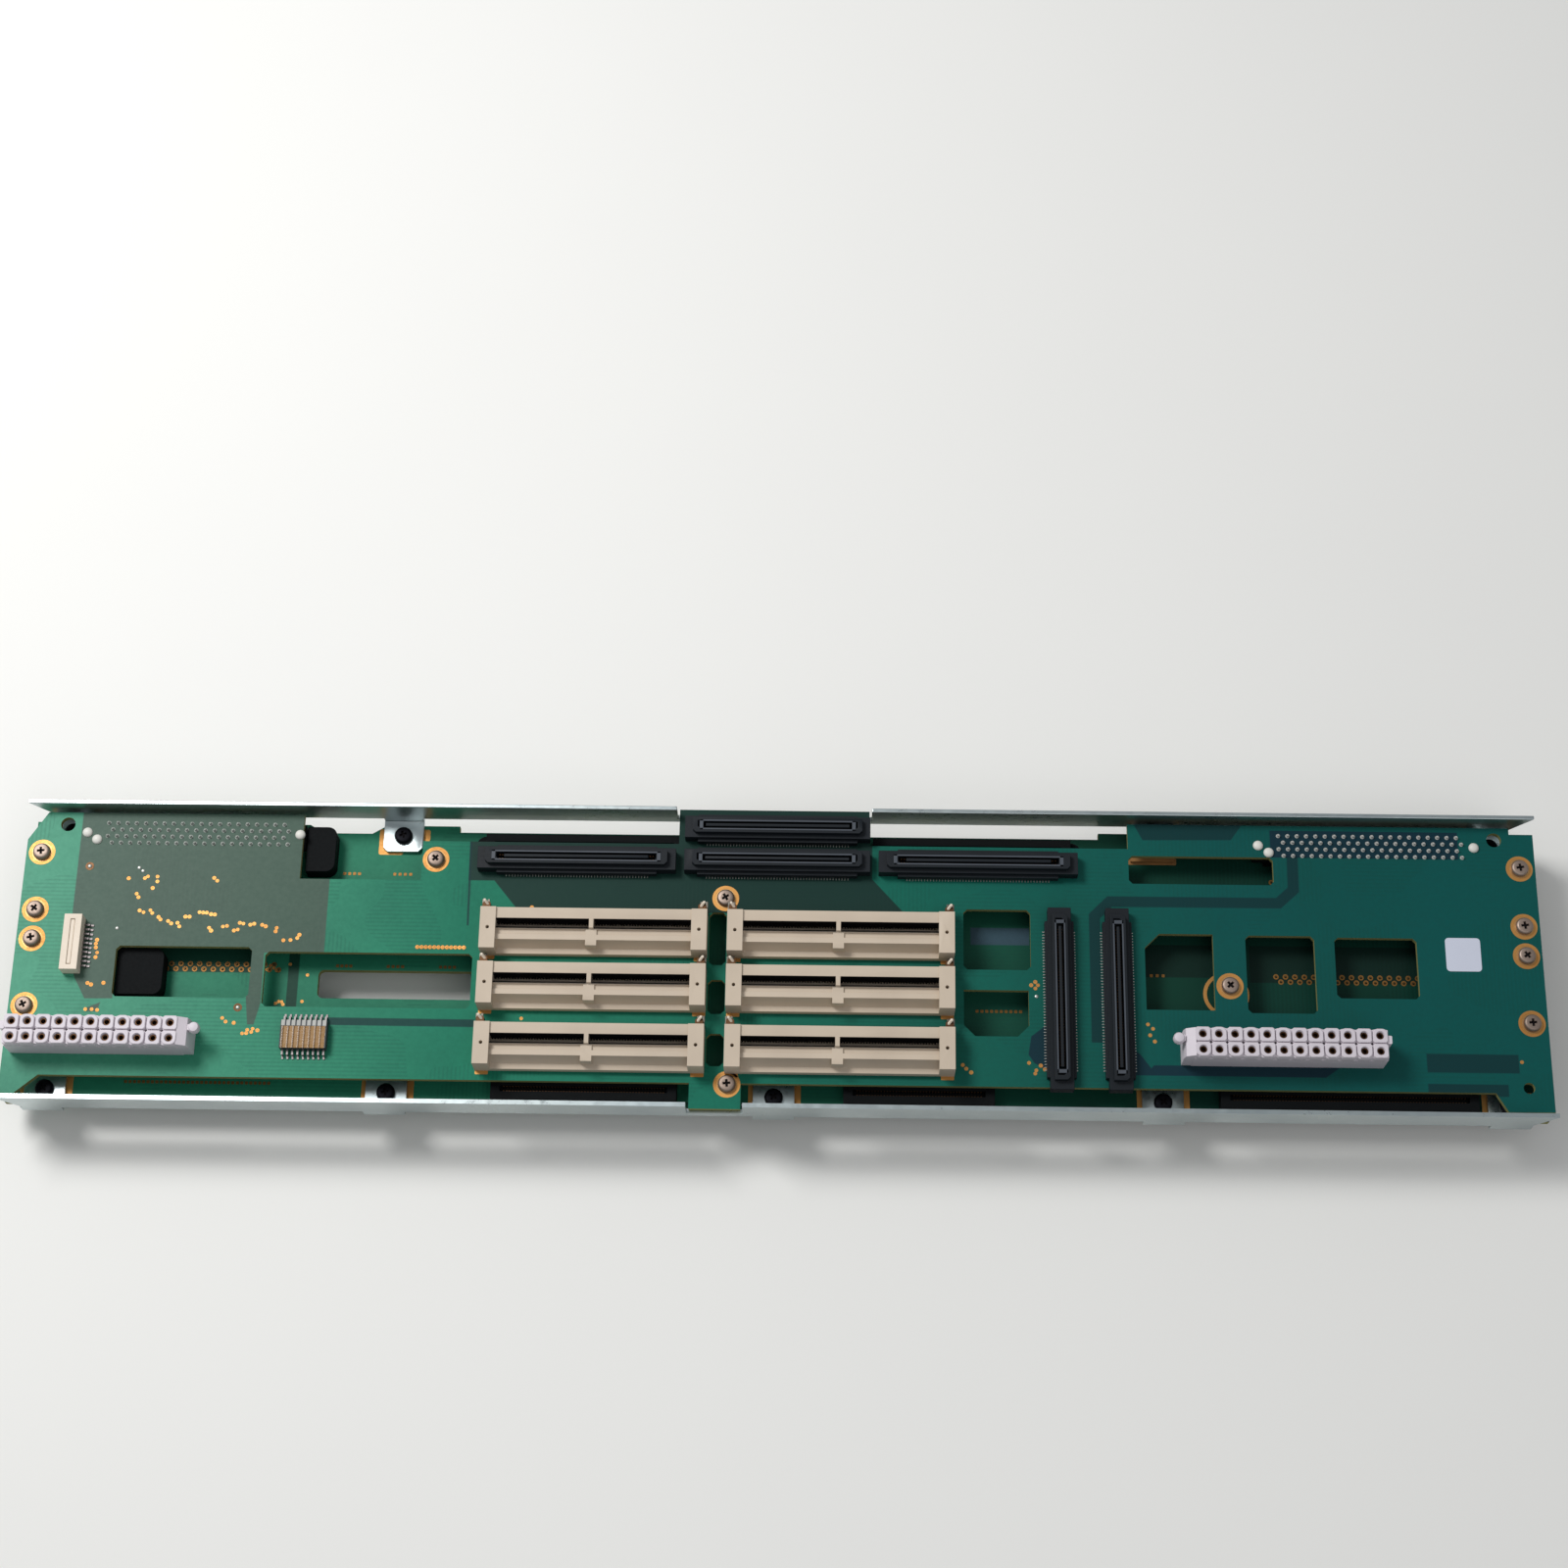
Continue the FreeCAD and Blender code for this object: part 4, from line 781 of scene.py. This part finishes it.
def contactRows(kind, nodeNames, topOf):
    # small upright blades inside both walls of a slot
    row = blades[kind]
    form = newForm()
    for nodeName in nodeNames:
        low, high = nodeBox(nodeName)
        reach = max(high.x - low.x, high.y - low.y) - 2 * row["inset"]
        top = topOf(low, high)
        addRow(form, low, high, int(reach / row["pitch"]) + 1, row["pitch"], row["offset"], row["size"],
               top - row["depth"], top)
    return form


form = contactRows("cable", cableNames, lambda low, high: high.z - 1.2)
finishPiece("cable_contacts", form, bronze)
form = newForm()
tails = newForm()
for nodeName in cableNames:
    low, high = nodeBox(nodeName)
    upright = high.y - low.y > high.x - low.x
    middle = (low + high) / 2
    reach = (max(high.x - low.x, high.y - low.y) - slotLip["overall"]) / 2 + slotLip["reach"]
    # a raised lip frames the mouth of the slot, with a bar at each end
    inner, outer, stop = slotLip["inner"], slotLip["outer"], reach - slotLip["bar"]
    for run1, across1, run2, across2 in ((-reach, inner, reach, outer), (-reach, -outer, reach, -inner),
                                         (-reach, -outer, -stop, outer), (stop, -outer, reach, outer)):
        box = (across1, run1, across2, run2) if upright else (run1, across1, run2, across2)
        addPlate(form, (middle.x + box[0], middle.x + box[2], middle.y + box[1], middle.y + box[3]),
                 slotLip["corner"], high.z - slotLip["sink"], high.z + slotLip["rise"], 3)
    # solder tails under both skirts
    skirt = min(high.x - low.x, high.y - low.y) / 2 + slotLip["tailOut"]
    addRow(tails, low, high, slotLip["tails"], blades["cable"]["pitch"], skirt,
           (slotLip["tailWide"], slotLip["tailLong"]), rearTop, rearTop + slotLip["tailHigh"])
finishPiece("cable_slot_lips", form, rim, (), 0.05, 1)
finishPiece("cable_tails", tails, tin, (), 0.05, 1)

form = newForm()
painted_shade = newForm()
for nodeName in cardNames:
    low, high = nodeBox(nodeName)
    back = high.y - cardSlot["back"]
    front = back - cardSlot["wide"]
    seat = high.z - cardSlot["seat"]
    reach = (high.x - low.x) / 2 - cardSlot["inset"]
    middle = (low.x + high.x) / 2
    key = middle + cardSlot["key"]
    wide, thick = cardSlot["bladeHalf"], cardSlot["bladeThick"]
    for index in range(int(2 * reach / cardSlot["pitch"]) + 1):
        x = middle - reach + index * cardSlot["pitch"]
        if abs(x - key) < cardSlot["keyClear"]:
            continue
        for y in (front + 0.3, back - 0.3):
            addBlock(form, (x - wide, y - thick, seat - cardSlot["bladeLow"]),
                     (x + wide, y + thick, seat - cardSlot["bladeTop"]))
    # dark sheets against both walls of the slot, broken at the key, paint the shade deep in the slot
    end, gap = reach + cardSlot["end"], cardSlot["keyHalf"]
    for left, right in ((middle - end, key - gap), (key + gap, middle + end)):
        for y in (front, back - cardSlot["shadeSheet"]):
            addBlock(painted_shade, (left, y, seat - cardSlot["bladeLow"]),
                     (right, y + cardSlot["shadeSheet"], seat - cardSlot["shadeSheetTop"]))
# the blades take the same near-black, as painted shade in the slot
finishPiece("card_contacts", form, recessShade)

# the sprung clips' feet on the board, each with a finger that leans outward, coloured cream as a painted
# highlight on the clip's metal
feet = newForm()
highlight_fingers = newForm()
top, half = rearTop + clipFoot["high"], clipFoot["finger"]
for nodeName in cardNames:
    low, high = nodeBox(nodeName)
    for way, corner in ((1, low.x), (-1, high.x)):
        start = corner + way * clipFoot["inset"]
        stop = start + way * clipFoot["wide"]
        left, right = sorted((start, stop))
        addPlate(feet, (left, right, high.y, high.y + clipFoot["deep"]), clipFoot["corner"], rearTop, top)
        base = stop - way * clipFoot["back"]
        ends = ((base, high.y + 0.9, top - 0.3), (base - way * clipFoot["lean"], high.y + 2.1, top + 0.9))
        addRings(highlight_fingers, [[(x - half, y - half, z), (x + half, y - half, z), (x + half, y + half, z),
                            (x - half, y + half, z)] for x, y, z in ends])
finishPiece("clip_feet", feet, bronze, (), 0.08, 2)
finishPiece("clip_fingers", highlight_fingers, cream)
finishPiece("card_slot_linings", painted_shade, recessShade)
form = contactRows("drive", driveNames, lambda low, high: low.z + 5.2)
finishPiece("drive_contacts", form, gold)
form = contactRows("low", lowNames[2:], lambda low, high: high.z - 0.6)
finishPiece("low_contacts", form, bronze)
print("contacts placed")


# --- solder tails, pads and marks on the boards

solder = {"base": 0.46, "waist": 0.66, "tip": 0.26, "rise": 1.0, "hole": 0.3, "pad": 0.58, "padHigh": 0.035}
peg = {"radius": 1.38, "rise": 0.98, "least": 1.5}
for side, finish in (("left", tarnished), ("right", dullSolder)):
    form, pegs, rings = newForm(), newForm(), newForm()
    for low, high in islandBoxes("link_tails_" + side):
        x, y, z = (low.x + high.x) / 2, (low.y + high.y) / 2, low.z
        if high.x - low.x < peg["least"]:
            base, tip = solder["base"], solder["tip"]
            addLathe(form, x, y, [(base, z + 0.03), (base * solder["waist"], z + 0.28),
                                  (tip * 1.15, z + 0.6), (tip, z + 0.92), (0.1, z + solder["rise"])], 10)
            addWasher(rings, x, y, solder["hole"], solder["pad"], z, z + solder["padHigh"], 12)
        else:
            radius = peg["radius"]
            addLathe(pegs, x, y, [(radius, z), (radius, z + 0.2), (1.2, z + 0.6), (0.75, z + 0.88),
                                  (0.2, z + peg["rise"])], 20)
    finishPiece("link_solder_" + side, form, finish, ("link_tails_" + side,))
    finishPiece("link_pegs_" + side, pegs, paleSolder)
    finishPiece("link_pads_" + side, rings, finish)

# plated test points and vias on the rear board, in millimetres
testPoints = [
    (-176.4, 21.0), (-172.0, 21.1), (-171.2, 21.6), (-168.6, 21.6), (-168.5, 20.2), (-169.6, 18.3),
    (-173.8, 16.6), (-173.2, 15.6), (-153.1, 21.4), (-152.2, 20.6), (-172.5, 11.8), (-171.4, 11.3),
    (-169.6, 11.9), (-169.0, 11.1), (-167.2, 10.0), (-166.6, 9.3), (-164.5, 8.9), (-163.6, 8.2),
    (-161.9, 8.4), (-161.3, 7.4), (-159.9, 10.2), (-158.8, 10.2), (-156.2, 11.5), (-155.2, 11.4),
    (-154.2, 11.4), (-153.0, 11.0), (-152.0, 10.9), (-153.2, 7.1), (-152.6, 6.3), (-149.5, 7.5),
    (-148.4, 7.7), (-146.4, 6.4), (-145.4, 6.7), (-145.0, 8.6), (-144.0, 8.4), (-142.1, 8.1),
    (-141.1, 8.4), (-138.9, 8.1), (-137.9, 7.7), (-134.9, 7.3), (-135.1, 6.3), (-132.8, 3.8),
    (-130.9, 3.9), (-129.1, 4.5), (-128.6, 5.4), (-183.2, 3.3), (-183.4, 2.2), (-183.3, 1.1),
    (-182.8, -0.3), (-183.1, -1.6), (-184.5, -8.9), (-183.5, -9.3), (-180.2, -8.8), (-147.4, -18.2),
    (-146.4, -19.2), (-144.2, -19.5), (-141.7, -22.4), (-140.6, -22.3), (-140.4, -21.4), (-139.3, -22.0),
    (-139.0, -21.1), (-137.7, -21.5), (-184.3, -16.2), (-182.6, -16.2), (-181.1, -16.4), (-66.2, 14.0),
    (-67.5, -17.3), (50.0, -28.6), (50.9, -29.6), (52.2, -30.6), (68.4, -6.3), (69.5, -5.4),
    (70.2, -6.3), (69.5, -7.2), (67.5, -27.8), (70.6, -28.5), (71.7, -29.5), (69.1, -30.7),
    (69.4, -29.8), (99.2, -16.8), (100.5, -18.0), (99.7, -19.8), (100.9, -21.5), (197.4, -25.9),
]
via = {"radius": 0.56, "hole": 0.2, "high": 0.06, "spread": (0.9, 1.08)}
lockPad = {"long": 3.5, "front": 1.0, "under": 0.2, "inset": 0.1, "corner": 0.3, "high": 0.05}
bead = {"count": 12, "start": -96.5, "pitch": 1.14, "y": 2.35, "radius": 0.62, "high": 0.12}
form = newForm()
for x, y in testPoints:
    radius = via["radius"] * turning.uniform(*via["spread"])
    addLathe(form, x, y, [(radius, rearTop), (radius * 0.94, rearTop + via["high"]),
                          (via["hole"] + 0.05, rearTop + via["high"]), (via["hole"], rearTop + 0.01)], 16)
# lock pads at the front corners of the card sockets
for nodeName in cardNames:
    low, high = nodeBox(nodeName)
    for left in (low.x + lockPad["inset"], high.x - lockPad["long"] - lockPad["inset"]):
        addPlate(form, (left, left + lockPad["long"], low.y - lockPad["front"], low.y + lockPad["under"]),
                 lockPad["corner"], rearTop, rearTop + lockPad["high"])
# a row of joined beads above the long window
for index in range(bead["count"]):
    radius = bead["radius"]
    addLathe(form, bead["start"] + index * bead["pitch"], bead["y"],
             [(radius, rearTop), (radius * 0.9, rearTop + 0.1), (0.24, rearTop + bead["high"]),
              (0.18, rearTop + 0.03)], 16)
finishPiece("rear_gold", form, gold)

# bright tinned dots, two of them inside a dark plated ring; at -187.4, 24.4 the tin centre is a painted
# highlight on a dark peg
ringedDots = [(-187.4, 24.4), (-143.5, -15.2)]
tinnedDots = [(-173.8, 24.1), (-172.7, 23.2), (-178.1, 6.7)] + ringedDots + [(69.8, -9.4)]
form = newForm()
for x, y in tinnedDots:
    addLathe(form, x, y, [(0.5, rearTop), (0.46, rearTop + 0.12), (0.2, rearTop + 0.22)], 16)
finishPiece("tinned_dots", form, tin)
form = newForm()
for x, y in ringedDots:
    addWasher(form, x, y, 0.6, 1.15, rearTop, rearTop + 0.05, 24)
finishPiece("dark_rings", form, bronze)

label = {"box": (179.4, 188.8, -1.0, 8.4), "corner": 1.0, "thick": 0.09}
form = newForm()
addPlate(form, label["box"], label["corner"], rearTop, rearTop + label["thick"])
finishPiece("blank_label", form, paper, (), 0.03, 1)

# pin tails of the drive connectors come through the drive board in two staggered rows
pins = {"rows": (-2.3, -3.75), "pitch": 2.54, "count": 20, "ring": 0.76, "hole": 0.36, "tail": 0.3,
        "rise": 0.4}
form = newForm()
rings = newForm()
for nodeName in driveNames:
    low, high = nodeBox(nodeName)
    middle = (low + high) / 2
    for row, across in enumerate(pins["rows"]):
        for index in range(pins["count"]):
            x = middle.x + (index - pins["count"] / 2 + 0.25 + row * 0.5) * pins["pitch"]
            y = middle.y + across
            addLathe(form, x, y, [(pins["tail"], driveTop), (0.24, driveTop + pins["rise"] * 0.7),
                                  (0.12, driveTop + pins["rise"])], 10)
            addWasher(rings, x, y, pins["hole"], pins["ring"], driveTop, driveTop + 0.05, 14)
finishPiece("drive_pin_tails", form, shadowTin)
finishPiece("drive_pin_rings", rings, dimGold)

# plated lands under the rail tabs, round one spacer, and marks on the drive board
lands = {"tabHalf": 5.5, "left": 1.3, "right": 1.7, "below": 0.45, "short": 3.6, "deep": 7.0, "corner": 0.6,
         "thick": 0.04, "ringInner": 5.2, "ringOuter": 6.2, "ringNear": 121.4}
dots = {"half": 0.42, "corner": 0.2, "thick": 0.05,
        # start, count, place across the board and pitch of each row
        "rows": [(-173.4, 33, -33.9, 1.2), (-119.0, 4, 25.8, 1.35), (-105.2, 4, 25.8, 1.45),
                 (-119.0, 4, -0.8, 1.2), (-105.2, 4, -0.8, 1.3), (-91.0, 4, -0.8, 1.25),
                 (54.3, 10, -11.4, 1.3), (101.4, 3, -0.8, 1.6)]}
wornStrip = {"box": (96.0, 109.2, 31.0, 32.9), "inset": 0.6, "before": 0.35, "behind": 2.6, "joint": 0.04}
driveVias = [(-138.1, -2.1), (-137.2, -0.9), (-136.3, -1.6), (-135.5, -2.3), (-131.9, -0.5), (-135.0, -11.6),
             (-134.2, -11.1), (-133.4, -11.2), (-133.0, -11.9), (-127.0, -3.5), (-127.9, -11.0)]
topEdge, lowEdge = nodeBox("top_rail")[0].y, nodeBox("bottom_rail")[1].y
landTop = driveTop + lands["thick"]
form = newForm()
for x, y, z in railPlaces:
    left, right = x - lands["tabHalf"] - lands["left"], x + lands["tabHalf"] + lands["right"]
    if y > 0:
        boxes = [(left, x, topEdge - lands["below"], topEdge + lands["deep"]),
                 (x - 1, right, topEdge + lands["short"], topEdge + lands["deep"])]
    else:
        boxes = [(left, right, lowEdge - lands["deep"], lowEdge - 0.3)]
    for box in boxes:
        addPlate(form, box, lands["corner"], driveTop, landTop)
spacers = [((low.x + high.x) / 2, (low.y + high.y) / 2) for low, high in islandBoxes("standoffs")]
spacerX, spacerY = min(spacers, key=lambda spot: abs(spot[0] - lands["ringNear"]))
addWasher(form, spacerX, spacerY, lands["ringInner"], lands["ringOuter"], driveTop, landTop, 48)
dim = newForm()
for start, count, y, pitch in dots["rows"]:
    for index in range(count):
        x, half = start + index * pitch, dots["half"]
        addPlate(dim, (x - half, x + half, y - half, y + half), dots["corner"], driveTop,
                 driveTop + dots["thick"])
finishPiece("drive_dots", dim, dimGold)
for x, y in driveVias:
    addLathe(form, x, y, [(0.5, driveTop), (0.46, driveTop + 0.06), (0.2, driveTop + 0.06),
                          (0.16, driveTop + 0.01)], 14)
finishPiece("drive_gold", form, gold)
form = newForm()
left, right, near, far = wornStrip["box"]
addPlate(form, wornStrip["box"], 0.3, driveTop, driveTop + 0.05)
# the worn joint that hides the edge of the tab behind the strip
addPlate(form, (left + wornStrip["inset"], right - wornStrip["inset"], topEdge - wornStrip["before"],
                topEdge + wornStrip["behind"]), 0.15, driveTop, railPlaces[0][2] + wornStrip["joint"])
finishPiece("drive_strip", form, brownGold)
print("pads and marks placed")


# --- switch block under its tape, and the flat-cable connector's mouth

slider = {"count": 8, "margin": 1.55, "half": 0.42, "start": 1.0, "stop": 5.4, "sink": 0.1, "rise": 0.06}
switchLand = {"half": 0.5, "deep": 1.5, "past": 0.1, "thick": 0.1}
tongue = {"left": 1.9, "right": 2.9, "end": 1.6, "drop": 2.4, "below": 0.12}
low, high = nodeBox("switch_block")
form = newForm()
for index in range(slider["count"]):
    x = low.x + slider["margin"] + index * (high.x - low.x - 2 * slider["margin"]) / (slider["count"] - 1)
    addPlate(form, (x - slider["half"], x + slider["half"], low.y + slider["start"], low.y + slider["stop"]),
             0.12, high.z - slider["sink"], high.z + slider["rise"])
finishPiece("switch_sliders", form, cream)
form = newForm()
for leadLow, leadHigh in islandBoxes("switch_leads"):
    if leadLow.y > low.y + 2:
        x = (leadLow.x + leadHigh.x) / 2
        addPlate(form, (x - switchLand["half"], x + switchLand["half"], high.y - switchLand["deep"],
                        high.y + switchLand["past"]), 0.1, high.z - switchLand["thick"],
                 high.z + switchLand["thick"])
finishPiece("switch_lands", form, dullSolder, (), 0.04, 1)
low, high = nodeBox("flex_connector")
form = newForm()
addPlate(form, (low.x + tongue["left"], low.x + tongue["right"], low.y + tongue["end"],
                high.y - tongue["end"]), 0.15, high.z - tongue["drop"], high.z - tongue["below"])
finishPiece("flex_tongue", form, cream, (), 0.1, 1)


# --- floor, lights and camera

stand = {"floor": colour(236, 235, 231), "worn": colour(230, 229, 226), "half": 6, "world": 0.36,
         "sky": (0.93, 0.96, 1.0, 1.0)}
lamps = {
    "key": {"place": (-0.50, 0.36, 0.80), "target": (-0.05, 0, 0), "size": 0.34, "power": 7.2},
    "wash": {"place": (0.35, -0.5, 0.9), "target": (0.1, 0, 0), "size": 0.6, "power": 1.2},
}
# the camera's place is in metres from the middle of the rear board's top
view = {"place": (0.0147, -0.2361, 0.7265), "tilt": -0.376, "roll": -0.017, "pan": -0.011, "sensor": 36,
        "lens": 65.25}

floorFinish = Finish("pale floor", Roughness=0.85)
floorNoise = floorFinish.noise(6, 3)
floorFinish.feed("Base Color", floorFinish.blend((floorNoise - 0.4) * 0.6, stand["floor"], stand["worn"]))
form = newForm()
half = stand["half"]
form.faces.new([form.verts.new(point) for point in
                ((-half, -half, 0), (half, -half, 0), (half, half, 0), (-half, half, 0))])
floor = plainObject("floor", form)
floor.data.materials.append(floorFinish.material)

world = bpy.data.worlds.new("studio")
bpy.context.scene.world = world
world.use_nodes = True
background = world.node_tree.nodes["Background"]
background.inputs[0].default_value = stand["sky"]
background.inputs[1].default_value = stand["world"]

for name, lampSizes in lamps.items():
    lamp = bpy.data.lights.new(name, "AREA")
    lamp.shape = "SQUARE"
    lamp.size = lampSizes["size"]
    lamp.energy = lampSizes["power"]
    holder = bpy.data.objects.new(name, lamp)
    place = Vector(lampSizes["place"])
    holder.location = place
    holder.rotation_mode = "QUATERNION"
    holder.rotation_quaternion = (Vector(lampSizes["target"]) - place).to_track_quat("-Z", "Y")
    bpy.context.scene.collection.objects.link(holder)

camera = bpy.data.objects.new("camera", bpy.data.cameras.new("camera"))
camera.data.sensor_width = view["sensor"]
camera.data.lens = view["lens"]
camera.data.clip_start = 0.01
camera.data.clip_end = 30
turn = (Matrix.Rotation(view["pan"], 3, "Z") @ Matrix.Rotation(view["roll"], 3, "Y")
        @ Matrix.Rotation(view["tilt"], 3, "X"))
x, y, z = view["place"]
camera.matrix_world = Matrix.Translation((x, y, z + rearTop * mm)) @ turn.transposed().to_4x4()
bpy.context.scene.collection.objects.link(camera)
bpy.context.scene.camera = camera
bpy.context.scene.view_settings.view_transform = "Standard"
print("stage set")
